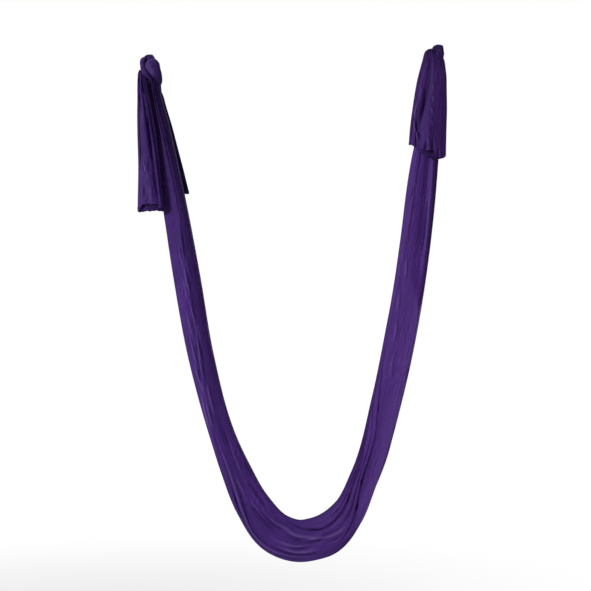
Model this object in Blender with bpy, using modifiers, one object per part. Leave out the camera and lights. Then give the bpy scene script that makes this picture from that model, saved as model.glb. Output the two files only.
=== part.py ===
"""Aerial yoga hammock: one long cloth, gathered lengthwise into a bundle and tied in a knot at each end.

The bundle hangs as a U from two eyes, the bights of cloth that a hanging hook passes through.
Below each knot the spare end of the cloth hangs down as a tail.

Frame: the origin is the centre of the left eye, +X points to the right eye and +Z is up.
The eyes lie on the X axis, which is also the line that the sling swings about.
"""
import math

import bmesh
import bpy
import numpy as np
from mathutils import Matrix, Vector

# Driving sizes of the hung cloth, in metres
EYE_SPAN = 1.000
SLING_DROP = 1.646
THROAT_WIDTH = 0.050
STRAND_WIDTH = 0.092
SEAT_WIDTH = 0.146
STRAND_DEPTH = 0.046
SEAT_DEPTH = 0.056
LEFT_TAIL_LENGTH = 0.437
LEFT_TAIL_TOP = 0.036
LEFT_TAIL_HEM = 0.094
LEFT_TAIL_LEAN = 0.002
RIGHT_TAIL_LENGTH = 0.268
RIGHT_TAIL_TOP = 0.092
RIGHT_TAIL_HEM = 0.120
TAIL_HEM_DEPTH = 0.032
FLAP_LENGTH = 0.356
FLAP_DEPTH = 0.008
FLAP_PROUD = 0.009
FLAP_COVER = 0.023

# Eyes: rings of gathered cloth round the place of the hook
EYE_HOLE_RADIUS = 0.0075
EYE_RADIUS = 0.0230
EYE_WIDTH = 0.046
EYE_LIP = 0.003
EYE_STRAIGHT_SHARE = 0.85
EYE_FOLDS = 5
EYE_FOLD_DEPTH = 0.0022
EYE_SIDES = 24
STEPS_PER_EYE_FOLD = 4

# Knots: how far they reach down from the eyes. Their shapes are drawn at the reach and the depths below,
# the depth of the tails' axis and of the tails' backs in front of the eyes.
KNOT_REACH = 0.1065
KNOT_DRAWN_REACH = 0.1065
KNOT_DRAWN_DEPTH = 0.0358
CORE_DRAWN_DEPTH = 0.0258

# Clearances between neighbouring layers of cloth, and the thickness of a layer's rim
SOFT_GAP = 0.0006
LAYER_GAP = 0.0008
RIM_THICKNESS = 0.0018

# Main folds that run along the bundle and down the tails
SLING_FOLDS = 5
SLING_FOLD_DEPTH = 0.42
FOLD_DRIFT = 0.22
FOLD_WANDER = 0.08
TAIL_FOLDS = 4
FLAP_FOLDS = 3
TAIL_FOLD_DEPTH = 0.38

# Where each tail turns: a rounded top edge in a hollow under its knot's neck
TAIL_ROUND = 0.0100
TAIL_AXIS_RISE = 0.0165
TAIL_BACK_GAP = 0.0028
NECK_FOOT_RISE = 0.0090
TAIL_AXIS_DROP = KNOT_REACH - TAIL_AXIS_RISE
TAIL_AXIS_Y = -(STRAND_DEPTH / 2.0 + TAIL_BACK_GAP + TAIL_ROUND)
NECK_FOOT = -TAIL_AXIS_DROP + NECK_FOOT_RISE
KNOT_SCALE = KNOT_REACH / KNOT_DRAWN_REACH
KNOT_DEPTH_SCALE = -TAIL_AXIS_Y / KNOT_DRAWN_DEPTH
CORE_DEPTH_SCALE = -(TAIL_AXIS_Y + TAIL_ROUND) / CORE_DRAWN_DEPTH
TAIL_TOP_TURN = math.radians(80.0)

# Fineness of the lofted cloth
COURSE_STEPS = 12
SLING_STATIONS = 50
SEAT_CROWDING = 0.45
FACE_POINTS = 17
FLAP_FACE_POINTS = 9
BACKING_POINTS = 5
CORE_POINTS = 7
TAIL_STATIONS = 18
TAIL_TOP_STEPS = 4
FLAP_STATIONS = 12

# Course of the bundle's middle line from the left throat to the right one.
# Each row: share of the eye span, share of the fall below the throats, and fullness
# (0 is the throat's width, 1 the strand's and 2 the seat's).
SLING_COURSE = (
    (0.013, 0.000, 0.00),
    (0.036, 0.082, 0.38),
    (0.087, 0.254, 0.74),
    (0.135, 0.426, 0.95),
    (0.184, 0.598, 0.90),
    (0.256, 0.767, 0.93),
    (0.307, 0.848, 1.20),
    (0.368, 0.926, 1.52),
    (0.452, 0.986, 1.88),
    (0.520, 1.000, 2.00),
    (0.589, 0.990, 1.93),
    (0.687, 0.934, 1.28),
    (0.747, 0.856, 1.07),
    (0.822, 0.688, 1.07),
    (0.877, 0.517, 1.15),
    (0.919, 0.344, 1.10),
    (0.951, 0.170, 0.88),
    (0.969, 0.083, 0.43),
    (0.981, 0.000, 0.00),
)

# The throat hangs under the knot's reach, which is round about the X axis, by a gap at its front layer
FRONT_LAYER_BACK = STRAND_DEPTH / 6.0 + LAYER_GAP / 2.0
THROAT_GAP = 0.0009
THROAT_DROP = math.sqrt(KNOT_REACH**2 - FRONT_LAYER_BACK**2) + THROAT_GAP

# Shapes of the knots, from their own eye. Lumps: centre, radii, tilt in degrees, folds, fold depth, taper.
LEFT_CORE = ((0.006, 0.002), (0.031, 0.032), 7, 0.16)
LEFT_LOBE = ((0.016, -0.033, -0.042), (0.030, 0.018, 0.047), -18.0, 5, 0.10, 0.10)
LEFT_BAND = (
    (-0.006, 0.032, -0.030),
    (-0.020, 0.024, -0.024),
    (-0.027, -0.002, -0.021),
    (-0.026, -0.026, -0.024),
    (-0.019, -0.038, -0.036),
    (-0.008, -0.044, -0.050),
    (0.003, -0.042, -0.064),
)
RIGHT_CORE = ((-0.009, 0.002), (0.028, 0.032), 7, 0.16)
RIGHT_LOBE = ((0.003, -0.035, -0.019), (0.021, 0.013, 0.016), 20.0, 3, 0.06, 0.0)
RIGHT_BAND = (
    (0.006, -0.030, -0.046),
    (0.016, -0.016, -0.040),
    (0.015, 0.006, -0.040),
    (0.012, 0.030, -0.050),
    (-0.006, 0.038, -0.062),
    (-0.026, 0.030, -0.070),
)
BAND_HALF_WIDTH = 0.0110
BAND_HALF_THICKNESS = 0.0065
BAND_END_SHARE = 0.30
BAND_STATIONS = 20
BAND_SIDES = 12
LUMP_SIDES = 24
LUMP_RINGS = 12
LUMP_FOLD_TWIST = 1.2

# The knot's core starts inside the eye's round and is cut off under the knot's reach
CORE_TOP = -0.7 * EYE_RADIUS
CORE_FOOT = -(KNOT_REACH + 0.010)

# Necks: gathered cloth from a knot to its tail, as rows of height, left edge and right edge
LEFT_NECK = (
    (-0.042, -0.036, -0.020),
    (-0.048, -0.038, -0.012),
    (-0.055, -0.040, -0.007),
    (-0.070, -0.042, -0.007),
)
LEFT_NECK_FOOT = (-0.043, -0.007)
RIGHT_NECK = (
    (0.002, -0.036, -0.018),
    (-0.008, -0.048, -0.006),
    (-0.025, -0.056, 0.006),
    (-0.045, -0.063, 0.013),
    (-0.065, -0.069, 0.018),
)
RIGHT_NECK_FOOT = (-0.073, 0.020)
NECK_SIDES = 28
NECK_FOLDS = 4
NECK_FOLD_DEPTH = 0.10

# Cutters: how far they run past a knot, and the sides of their rounds
CUTTER_REACH = 0.15
EYE_SPACE_SIDES = 56
TAIL_SPACE_SIDES = 40
KNOT_REACH_SIDES = 96

CLOTH_COLOUR = (0.047, 0.012, 0.125, 1.0)
SHADE_COLOUR = (0.036, 0.009, 0.100, 1.0)
CLOTH_ROUGHNESS = 0.62


def clear_scene():
    for item in list(bpy.data.objects):
        bpy.data.objects.remove(item, do_unlink=True)


def new_collection(name):
    collection = bpy.data.collections.new(name)
    bpy.context.scene.collection.children.link(collection)
    return collection


def new_material(name, colour):
    material = bpy.data.materials.new(name)
    material.use_nodes = True
    shader = material.node_tree.nodes["Principled BSDF"]
    shader.inputs["Base Color"].default_value = colour
    shader.inputs["Roughness"].default_value = CLOTH_ROUGHNESS
    shader.inputs["Metallic"].default_value = 0.0
    return material


clear_scene()
HAMMOCK = new_collection("aerial_yoga_hammock")
CUTTERS = new_collection("cutters")


def add_piece(name, mesh, colour=CLOTH_COLOUR):
    """A visible piece of cloth with its own material."""
    piece = bpy.data.objects.new(name, mesh)
    mesh.materials.append(new_material(name + "_cloth", colour))
    mesh.shade_smooth()
    HAMMOCK.objects.link(piece)
    return piece


def add_cutter(name, mesh):
    cutter = bpy.data.objects.new(name, mesh)
    cutter.display_type = "WIRE"
    cutter.hide_render = True
    CUTTERS.objects.link(cutter)
    return cutter


def cut(piece, *cutters, keep="outside"):
    """Cut a piece clear of the cutters, or keep only what lies inside them."""
    for cutter in cutters:
        modifier = piece.modifiers.new("cut_by_" + cutter.name, "BOOLEAN")
        modifier.operation = "DIFFERENCE" if keep == "outside" else "INTERSECT"
        modifier.solver = "EXACT"
        modifier.object = cutter


def mesh_from(name, shape):
    mesh = bpy.data.meshes.new(name)
    shape.to_mesh(mesh)
    shape.free()
    return mesh


def loft(name, rings):
    """Closed skin through rings of equal point count, with its two ends capped."""
    shape = bmesh.new()
    rows = [[shape.verts.new(point) for point in ring] for ring in rings]
    count = len(rows[0])
    for first, second in zip(rows, rows[1:]):
        for i in range(count):
            j = (i + 1) % count
            shape.faces.new((first[i], first[j], second[j], second[i]))
    shape.faces.new(list(reversed(rows[0])))
    shape.faces.new(rows[-1])
    bmesh.ops.recalc_face_normals(shape, faces=shape.faces)
    return mesh_from(name, shape)


def smooth_course(points, shares, axes):
    """Points at the given shares of a smooth curve's length, measured along its first axes."""
    points = np.array(points, dtype=float)
    padded = np.vstack((2 * points[0] - points[1], points, 2 * points[-1] - points[-2]))
    fine = []
    for k in range(1, len(padded) - 2):
        before, start, end, after = padded[k - 1 : k + 3]
        for share in np.arange(COURSE_STEPS) / COURSE_STEPS:
            bend = (2 * before - 5 * start + 4 * end - after) * share**2
            turn = (3 * start - before - 3 * end + after) * share**3
            fine.append(0.5 * (2 * start + (end - before) * share + bend + turn))
    fine.append(padded[-2])
    fine = np.array(fine)
    runs = np.linalg.norm(np.diff(fine[:, :axes], axis=0), axis=1)
    along = np.concatenate(([0.0], np.cumsum(runs)))
    return np.column_stack([np.interp(shares * along[-1], along, column) for column in fine.T])


def headings(points):
    ahead = np.gradient(points, axis=0)
    return ahead / np.linalg.norm(ahead, axis=1)[:, None]


def bundle_width(fullness):
    if fullness < 1.0:
        return THROAT_WIDTH + (STRAND_WIDTH - THROAT_WIDTH) * fullness
    return STRAND_WIDTH + (SEAT_WIDTH - STRAND_WIDTH) * (fullness - 1.0)


def bundle_depth(fullness):
    return STRAND_DEPTH + (SEAT_DEPTH - STRAND_DEPTH) * max(0.0, fullness - 1.0)


def sling_course(shares):
    fall = SLING_DROP - THROAT_DROP
    points = [(x * EYE_SPAN, -THROAT_DROP - z * fall, full) for x, z, full in SLING_COURSE]
    return smooth_course(points, shares, 2)


def station_shares():
    """Shares along the sling, closer together round the bend of the seat."""
    spread = np.linspace(-1.0, 1.0, SLING_STATIONS)
    return 0.5 + 0.5 * spread * (SEAT_CROWDING + (1.0 - SEAT_CROWDING) * abs(spread))


def sling_stations():
    """Share along, middle point, direction across, width and depth at each station of the bundle.

    The two ends are cut level, under the knots.
    """
    shares = station_shares()
    course = sling_course(shares)
    ahead = headings(course[:, :2])
    ahead[0] = (0.0, -1.0)
    ahead[-1] = (0.0, 1.0)
    stations = []
    for share, (x, z, full), (dx, dz) in zip(shares, course, ahead):
        stations.append((share, (x, z), (-dz, dx), bundle_width(full), bundle_depth(full)))
    return stations


def crease_at(t, along, folds, side):
    """0 on the ridge of a main fold and 1 in the crease beside it, wandering slowly along the cloth."""
    drift = FOLD_DRIFT * math.sin(2.0 * math.pi * (1.3 * along + 0.17 * side))
    wander = FOLD_WANDER * math.sin(2.0 * math.pi * (3.1 * along + 0.4 * t))
    phase = folds * 0.5 * (t + 1.0) + drift + wander
    return abs(math.cos(math.pi * phase)) ** 3


def face_steps(count):
    """Shares from -1 to 1 across a face, closer together near its two rims."""
    return [-math.cos(math.pi * i / (count - 1)) for i in range(count)]


def dome_at(t, roundness=1.0):
    """Height of a swollen face: 1 in its middle and 0 at its rims."""
    return max(0.0, 1.0 - t * t) ** (0.5 * roundness)


def outer_rings(side):
    """Sections of the front (side -1) or back (side 1) third of the bundle, its folds on the outside."""
    rings = []
    for along, (x, z), (nx, nz), width, depth in sling_stations():
        seat = side * (depth / 6.0 + LAYER_GAP / 2.0)
        swell = depth / 3.0 - LAYER_GAP / 2.0 - RIM_THICKNESS
        ring = []
        for t in face_steps(FACE_POINTS):
            crease = SLING_FOLD_DEPTH * crease_at(t, along, SLING_FOLDS, side)
            y = seat + side * (RIM_THICKNESS + swell * dome_at(t) * (1.0 - crease))
            reach = t * width / 2.0
            ring.append((x + nx * reach, y, z + nz * reach))
        for t in np.linspace(1.0, -1.0, BACKING_POINTS):
            reach = t * width / 2.0
            ring.append((x + nx * reach, seat, z + nz * reach))
        rings.append(ring)
    return rings


def middle_layer(name):
    """The core of the bundle, between its front and back thirds."""
    rings = []
    across = face_steps(CORE_POINTS)
    for _, (x, z), (nx, nz), width, depth in sling_stations():
        half = depth / 6.0 - LAYER_GAP / 2.0
        front = [(t, -half * dome_at(t, 0.4)) for t in across]
        back = [(t, half * dome_at(t, 0.4)) for t in across[-2:0:-1]]
        reach = width / 2.0
        rings.append([(x + nx * t * reach, y, z + nz * t * reach) for t, y in front + back])
    return add_piece(name, loft(name, rings), SHADE_COLOUR)


def eye(name, x):
    """A ring of gathered cloth about the X axis: a scalloped profile turned with a Screw."""
    half = EYE_WIDTH / 2.0
    rim = EYE_HOLE_RADIUS + EYE_LIP
    profile = []
    steps = STEPS_PER_EYE_FOLD * EYE_FOLDS
    for i in range(steps + 1):
        share = i / steps
        crown = math.sin(math.pi * share) ** 0.35
        crease = math.cos(math.pi * EYE_FOLDS * share) ** 2
        radius = rim + (EYE_RADIUS - rim) * crown
        profile.append((radius - EYE_FOLD_DEPTH * crease * crown, half - EYE_WIDTH * share))
    profile.append((EYE_HOLE_RADIUS, -EYE_STRAIGHT_SHARE * half))
    profile.append((EYE_HOLE_RADIUS, EYE_STRAIGHT_SHARE * half))
    shape = bmesh.new()
    corners = [shape.verts.new((radius, 0.0, place)) for radius, place in profile]
    for first, second in zip(corners, corners[1:] + corners[:1]):
        shape.edges.new((first, second))
    ring = add_piece(name, mesh_from(name, shape))
    turn = ring.modifiers.new("turn", "SCREW")
    turn.axis = "Z"
    turn.steps = EYE_SIDES
    turn.render_steps = EYE_SIDES
    turn.use_merge_vertices = True
    turn.merge_threshold = 0.0001
    turn.use_normal_calculate = True
    ring.location = (x, 0.0, 0.0)
    ring.rotation_euler = (0.0, math.radians(90.0), 0.0)
    return ring


def cross_bar(name, middle, radius, length, segments):
    """A round bar along X that shapes the hollow for an eye or a tail, or the reach of a knot."""
    shape = bmesh.new()
    bmesh.ops.create_cone(
        shape, cap_ends=True, segments=segments, radius1=radius, radius2=radius, depth=length
    )
    bmesh.ops.rotate(shape, verts=shape.verts, matrix=Matrix.Rotation(math.radians(90.0), 3, "Y"))
    bmesh.ops.translate(shape, verts=shape.verts, vec=middle)
    return add_cutter(name, mesh_from(name, shape))


def tail_room(name, eye_x):
    """The space in front of the sling that a hanging tail fills, below its turning axis."""
    back = TAIL_AXIS_Y + TAIL_ROUND + SOFT_GAP
    high = Vector((CUTTER_REACH, back, -TAIL_AXIS_DROP))
    low = high - Vector((2.0 * CUTTER_REACH, CUTTER_REACH, CUTTER_REACH))
    shape = bmesh.new()
    bmesh.ops.create_cube(shape, size=1.0)
    bmesh.ops.scale(shape, verts=shape.verts, vec=high - low)
    bmesh.ops.translate(shape, verts=shape.verts, vec=(low + high) / 2.0 + Vector((eye_x, 0.0, 0.0)))
    return add_cutter(name, mesh_from(name, shape))


def lump(name, centre, radii, tilt, folds, fold_depth, taper, grow=0.0):
    """A swollen wad of cloth: a sphere pulled to size, with folds down its sides."""
    shape = bmesh.new()
    bmesh.ops.create_uvsphere(shape, u_segments=LUMP_SIDES, v_segments=LUMP_RINGS, radius=1.0)
    turn = Matrix.Rotation(math.radians(tilt), 3, "Y")
    for vertex in shape.verts:
        x, y, z = vertex.co
        around = math.atan2(y, x)
        crease = abs(math.cos(0.5 * folds * around + LUMP_FOLD_TWIST * z)) ** 3 * (1.0 - z * z)
        girth = (1.0 - fold_depth * crease) * (1.0 + taper * z)
        pulled = Vector((x * girth * radii[0], y * girth * radii[1], z * radii[2]))
        outward = Vector((x / radii[0], y / radii[1], z / radii[2])).normalized()
        vertex.co = turn @ (pulled + outward * grow) + Vector(centre)
    return mesh_from(name, shape)


def knot_sized(drawn):
    """A drawn place or reach in a knot at the knot's own size."""
    x, y, z = drawn
    return Vector((x * KNOT_SCALE, y * KNOT_DEPTH_SCALE, z * KNOT_SCALE))


def knot_lobe(name, eye_x, drawn, grow=0.0):
    centre, radii, tilt, folds, fold_depth, taper = drawn
    place = knot_sized(centre) + Vector((eye_x, 0.0, 0.0))
    return lump(name, place, knot_sized(radii), tilt, folds, fold_depth, taper, grow)


def knot_core(name, eye_x, drawn):
    """The hidden middle of a knot, from under its eye to the throat of the sling."""
    (x, y), (half_width, half_depth), folds, fold_depth = drawn
    place = (eye_x + x * KNOT_SCALE, y * CORE_DEPTH_SCALE, 0.5 * (CORE_TOP + CORE_FOOT))
    half_height = 0.5 * (CORE_TOP - CORE_FOOT)
    radii = (half_width * KNOT_SCALE, half_depth * CORE_DEPTH_SCALE, half_height)
    return lump(name, place, radii, 0.0, folds, fold_depth, 0.0)


def band(name, eye_x, route, grow=0.0):
    """A flattened roll of cloth that follows a route round the knot, lying flat against it."""
    drawn = [knot_sized(point) + Vector((eye_x, 0.0, 0.0)) for point in route]
    points = smooth_course(drawn, np.linspace(0.0, 1.0, BAND_STATIONS), 3)
    middle = points.mean(axis=0)
    rings = []
    for k, (point, ahead) in enumerate(zip(points, headings(points))):
        share = k / (BAND_STATIONS - 1)
        plump = BAND_END_SHARE + (1.0 - BAND_END_SHARE) * math.sin(math.pi * share) ** 0.5
        out = point - middle
        out -= ahead * out.dot(ahead)
        out /= np.linalg.norm(out)
        across = np.cross(ahead, out)
        wide = BAND_HALF_WIDTH * KNOT_SCALE * plump + grow
        thick = BAND_HALF_THICKNESS * KNOT_SCALE * plump + grow
        start = point + ahead * grow * (2.0 * share - 1.0)
        ring = []
        for step in range(BAND_SIDES):
            angle = 2.0 * math.pi * step / BAND_SIDES
            ring.append(start + across * wide * math.cos(angle) + out * thick * math.sin(angle))
        rings.append(ring)
    return loft(name, rings)


def neck(name, eye_x, drawn, foot, grow=0.0):
    """The gathered cloth between a knot and the top of its tail: rounded sections down the rows."""
    rows = [[size * KNOT_SCALE for size in row] for row in drawn] + [(NECK_FOOT, *foot)]
    rings = []
    for row, (z, left, right) in enumerate(rows):
        ends = grow if row == 0 else -grow if row == len(rows) - 1 else 0.0
        ring = []
        for step in range(NECK_SIDES):
            angle = 2.0 * math.pi * step / NECK_SIDES
            ripple = 1.0 - NECK_FOLD_DEPTH * math.cos(NECK_FOLDS * angle) ** 2
            x = 0.5 * (left + right) + (0.5 * (right - left) * ripple + grow) * math.cos(angle)
            y = TAIL_AXIS_Y + (TAIL_ROUND * ripple + grow) * math.sin(angle)
            ring.append((eye_x + x, y, z + ends))
        rings.append(ring)
    return loft(name, rings)


def tail(name, eye_x, top_edges, hem_edges, length, side):
    """A hanging tail of cloth: rounded at its top, where it turns, and folded down to its hem."""
    rows = []
    for i in range(TAIL_TOP_STEPS):
        angle = TAIL_TOP_TURN * (1.0 - i / TAIL_TOP_STEPS)
        rows.append((-TAIL_AXIS_DROP + TAIL_ROUND * math.sin(angle), math.cos(angle), 0.0))
    for i in range(TAIL_STATIONS + 1):
        share = i / TAIL_STATIONS
        rows.append((-TAIL_AXIS_DROP - length * share, 1.0, share))
    rings = []
    for z, pinch, share in rows:
        low = top_edges[0] + (hem_edges[0] - top_edges[0]) * share
        high = top_edges[1] + (hem_edges[1] - top_edges[1]) * share
        back = TAIL_AXIS_Y + TAIL_ROUND * pinch
        front_reach = (TAIL_ROUND + (TAIL_HEM_DEPTH - 2.0 * TAIL_ROUND) * share) * pinch
        ring = []
        for t in face_steps(FACE_POINTS):
            crease = TAIL_FOLD_DEPTH * share**0.5 * crease_at(t, 0.4 * share, TAIL_FOLDS, side)
            y = TAIL_AXIS_Y - front_reach * dome_at(t, 0.6) * (1.0 - crease)
            ring.append((eye_x + 0.5 * (low + high) + 0.5 * (high - low) * t, y, z))
        for t in np.linspace(1.0, -1.0, BACKING_POINTS):
            ring.append((eye_x + 0.5 * (low + high) + 0.5 * (high - low) * t, back, z))
        rings.append(ring)
    return add_piece(name, loft(name, rings))


def back_flap(name):
    """The half of the left tail that lies behind the strand and shows past its inner edge."""
    strand = [row for row in sling_course(station_shares()) if row[0] < 0.5 * EYE_SPAN]
    middles, heights, fullnesses = np.array(strand).T
    hem = -THROAT_DROP - FLAP_LENGTH
    under = [y for ring in outer_rings(1.0) for x, y, z in ring if x < 0.5 * EYE_SPAN and z > hem]
    front = max(under) + SOFT_GAP
    rings = []
    for i in range(FLAP_STATIONS):
        share = i / (FLAP_STATIONS - 1)
        z = -THROAT_DROP - FLAP_LENGTH * share
        middle = np.interp(-z, -heights, middles)
        full = np.interp(-z, -heights, fullnesses)
        low = middle - min(FLAP_COVER, 0.5 * bundle_width(full))
        high = middle + 0.5 * bundle_width(full) + FLAP_PROUD * share
        ring = []
        for t in face_steps(FLAP_FACE_POINTS):
            crease = TAIL_FOLD_DEPTH * crease_at(t, 0.5 * share, FLAP_FOLDS, 1)
            y = front + RIM_THICKNESS + (FLAP_DEPTH - RIM_THICKNESS) * dome_at(t) * (1.0 - crease)
            ring.append((0.5 * (low + high) + 0.5 * (high - low) * t, y, z))
        for t in np.linspace(1.0, -1.0, BACKING_POINTS):
            ring.append((0.5 * (low + high) + 0.5 * (high - low) * t, front, z))
        rings.append(ring)
    return add_piece(name, loft(name, rings))


def knot(side, eye_x, core_shape, lobe_shape, band_route, neck_rows, neck_foot):
    """Eye, lobe, band, neck and core of one knot, each cut clear of the pieces that lie over it."""
    eye(side + "_eye", eye_x)
    centre = (eye_x, 0.0, 0.0)
    tail_axis = (eye_x, TAIL_AXIS_Y, -TAIL_AXIS_DROP)
    eye_room = EYE_WIDTH + 2.0 * SOFT_GAP
    past_knot = 2.0 * CUTTER_REACH
    hook_space = cross_bar(side + "_eye_space", centre, EYE_RADIUS + SOFT_GAP, eye_room, EYE_SPACE_SIDES)
    tail_space = cross_bar(
        side + "_tail_space", tail_axis, TAIL_ROUND + SOFT_GAP, past_knot, TAIL_SPACE_SIDES
    )
    reach = cross_bar(side + "_reach", centre, KNOT_REACH, past_knot, KNOT_REACH_SIDES)
    lobe_space = add_cutter(side + "_lobe_space", knot_lobe(side + "_ls", eye_x, lobe_shape, SOFT_GAP))
    band_space = add_cutter(side + "_band_space", band(side + "_bs", eye_x, band_route, SOFT_GAP))
    neck_space = add_cutter(
        side + "_neck_space", neck(side + "_ns", eye_x, neck_rows, neck_foot, SOFT_GAP)
    )

    lobe_piece = add_piece(side + "_knot_lobe", knot_lobe(side + "_lobe", eye_x, lobe_shape))
    cut(lobe_piece, hook_space)
    band_piece = add_piece(side + "_knot_band", band(side + "_band", eye_x, band_route))
    cut(band_piece, hook_space, lobe_space)
    neck_piece = add_piece(
        side + "_tail_neck", neck(side + "_neck", eye_x, neck_rows, neck_foot), SHADE_COLOUR
    )
    cut(neck_piece, hook_space, lobe_space, band_space, tail_space)
    core_piece = add_piece(
        side + "_knot_core", knot_core(side + "_core", eye_x, core_shape), SHADE_COLOUR
    )
    cut(core_piece, hook_space, lobe_space, band_space, neck_space, tail_space)
    cut(core_piece, tail_room(side + "_tail_room", eye_x))
    cut(core_piece, reach, keep="inside")


def build():
    knot("left", 0.0, LEFT_CORE, LEFT_LOBE, LEFT_BAND, LEFT_NECK, LEFT_NECK_FOOT)
    knot("right", EYE_SPAN, RIGHT_CORE, RIGHT_LOBE, RIGHT_BAND, RIGHT_NECK, RIGHT_NECK_FOOT)

    add_piece("sling_front", loft("sling_front", outer_rings(-1.0)))
    middle_layer("sling_middle")
    add_piece("sling_back", loft("sling_back", outer_rings(1.0)))

    left_edge = LEFT_NECK_FOOT[0]
    hem_edge = left_edge - LEFT_TAIL_LEAN
    tail(
        "left_tail",
        0.0,
        (left_edge, left_edge + LEFT_TAIL_TOP),
        (hem_edge, hem_edge + LEFT_TAIL_HEM),
        LEFT_TAIL_LENGTH,
        -1.0,
    )
    right_edge = RIGHT_NECK_FOOT[1]
    tail(
        "right_tail",
        EYE_SPAN,
        (right_edge - RIGHT_TAIL_TOP, right_edge),
        (right_edge - RIGHT_TAIL_HEM, right_edge),
        RIGHT_TAIL_LENGTH,
        1.0,
    )
    back_flap("left_tail_back")


build()
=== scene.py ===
"""Looks of an aerial yoga hammock: one long cloth, gathered into a bundle and knotted at both ends.

The bundle hangs as a U from two eyes, where a hook passes through the gathered cloth.
Below each knot the spare end of the cloth hangs down as a tail with an open, pleated hem.
Every piece is a sheet folded to and fro across its bundle, so the fold edges show from the side.

Units are metres. The left eye is the origin, +X points to the right eye and +Z is up.
"""
import math

import bpy
import numpy as np
from bpy.props import FloatProperty, FloatVectorProperty, IntProperty, PointerProperty
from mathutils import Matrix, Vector


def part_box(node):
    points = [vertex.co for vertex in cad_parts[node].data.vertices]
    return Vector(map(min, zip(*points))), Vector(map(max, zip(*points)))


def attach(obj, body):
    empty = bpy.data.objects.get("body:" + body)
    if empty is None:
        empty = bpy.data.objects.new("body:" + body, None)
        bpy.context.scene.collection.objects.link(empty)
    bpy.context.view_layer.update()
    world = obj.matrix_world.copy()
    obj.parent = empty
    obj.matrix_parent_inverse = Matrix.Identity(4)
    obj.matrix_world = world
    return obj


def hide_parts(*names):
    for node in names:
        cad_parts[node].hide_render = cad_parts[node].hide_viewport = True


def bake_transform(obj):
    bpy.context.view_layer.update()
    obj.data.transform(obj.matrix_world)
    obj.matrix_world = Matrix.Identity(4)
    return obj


bl_info = {
    "name": "Aerial Yoga Hammock Cloth",
    "version": (1, 0, 0),
    "blender": (4, 5, 0),
    "location": "View3D > Sidebar > Hammock",
    "description": "Dresses the frame of a knotted yoga hammock in pleated, gathered cloth",
    "category": "Add Mesh",
}

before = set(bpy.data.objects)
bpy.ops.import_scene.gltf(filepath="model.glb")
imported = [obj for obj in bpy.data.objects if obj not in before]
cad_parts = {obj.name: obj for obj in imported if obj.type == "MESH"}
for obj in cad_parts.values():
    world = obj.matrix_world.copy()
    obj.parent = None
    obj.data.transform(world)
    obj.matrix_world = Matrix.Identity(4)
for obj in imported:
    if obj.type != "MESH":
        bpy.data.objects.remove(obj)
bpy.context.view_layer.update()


def box_middle(node):
    low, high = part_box(node)
    return (low + high) / 2.0


# Places read from the frame
EYES = {"left": box_middle("left_eye"), "right": box_middle("right_eye")}
EYE_SPAN = EYES["right"].x - EYES["left"].x
THROAT_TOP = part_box("sling_front")[1].z
SEAT_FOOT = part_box("sling_front")[0].z

# The bundle's widths and depths, and how far its cloth is tucked into the knots
THROAT_WIDTH = 0.050
STRAND_WIDTH = 0.092
SEAT_WIDTH = 0.146
STRAND_DEPTH = 0.046
SEAT_DEPTH = 0.056
SLING_TUCK = 0.050
SLING_ROWS = 460

# Where the middle layers end, as a share of half the bundle's depth. Each layer's flat cloth is
# a third of the whole cloth's width, by the length from knot to knot
LAYER_BOUND = 0.345

# Painted shade and shadow on the sling below each knot: how far it reaches, and how deep
LEFT_KNOT_SHADE = (0.540, 0.72)
RIGHT_KNOT_SHADE = (0.060, 0.80)

# Course of the bundle's middle line: share of the eye span, share of the fall below the throats,
# and fullness (0 is the throat's width, 1 the strand's and 2 the seat's)
SLING_COURSE = (
    (0.013, 0.000, 0.00),
    (0.036, 0.082, 0.38),
    (0.087, 0.254, 0.74),
    (0.135, 0.426, 0.95),
    (0.184, 0.598, 0.90),
    (0.256, 0.767, 0.93),
    (0.307, 0.848, 1.20),
    (0.368, 0.926, 1.52),
    (0.452, 0.986, 1.88),
    (0.520, 1.000, 2.00),
    (0.589, 0.990, 1.93),
    (0.687, 0.934, 1.28),
    (0.747, 0.856, 1.07),
    (0.822, 0.688, 1.07),
    (0.877, 0.517, 1.15),
    (0.919, 0.344, 1.10),
    (0.951, 0.170, 0.88),
    (0.969, 0.083, 0.43),
    (0.981, 0.000, 0.00),
)

# How far the cloth reaches to its outer and inner rims, as a share of half the width,
# at shares of the way along the sling
OUTER_REACH = (
    (0.00, 1.00), (0.14, 1.04), (0.20, 1.07), (0.27, 1.05), (0.35, 0.99), (0.42, 1.05), (0.48, 1.05),
    (0.50, 0.985), (0.515, 1.01), (0.53, 1.12), (0.545, 1.17), (0.56, 1.14), (0.58, 1.04), (0.65, 1.06),
    (0.78, 1.05), (0.90, 1.02), (1.00, 0.97),
)
INNER_REACH = (
    (0.00, 1.00), (0.14, 1.00), (0.30, 0.95), (0.37, 0.93), (0.46, 0.96), (0.54, 0.93),
    (0.61, 0.99), (0.71, 1.05), (0.79, 1.01), (0.88, 1.06), (1.00, 1.02),
)

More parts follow.
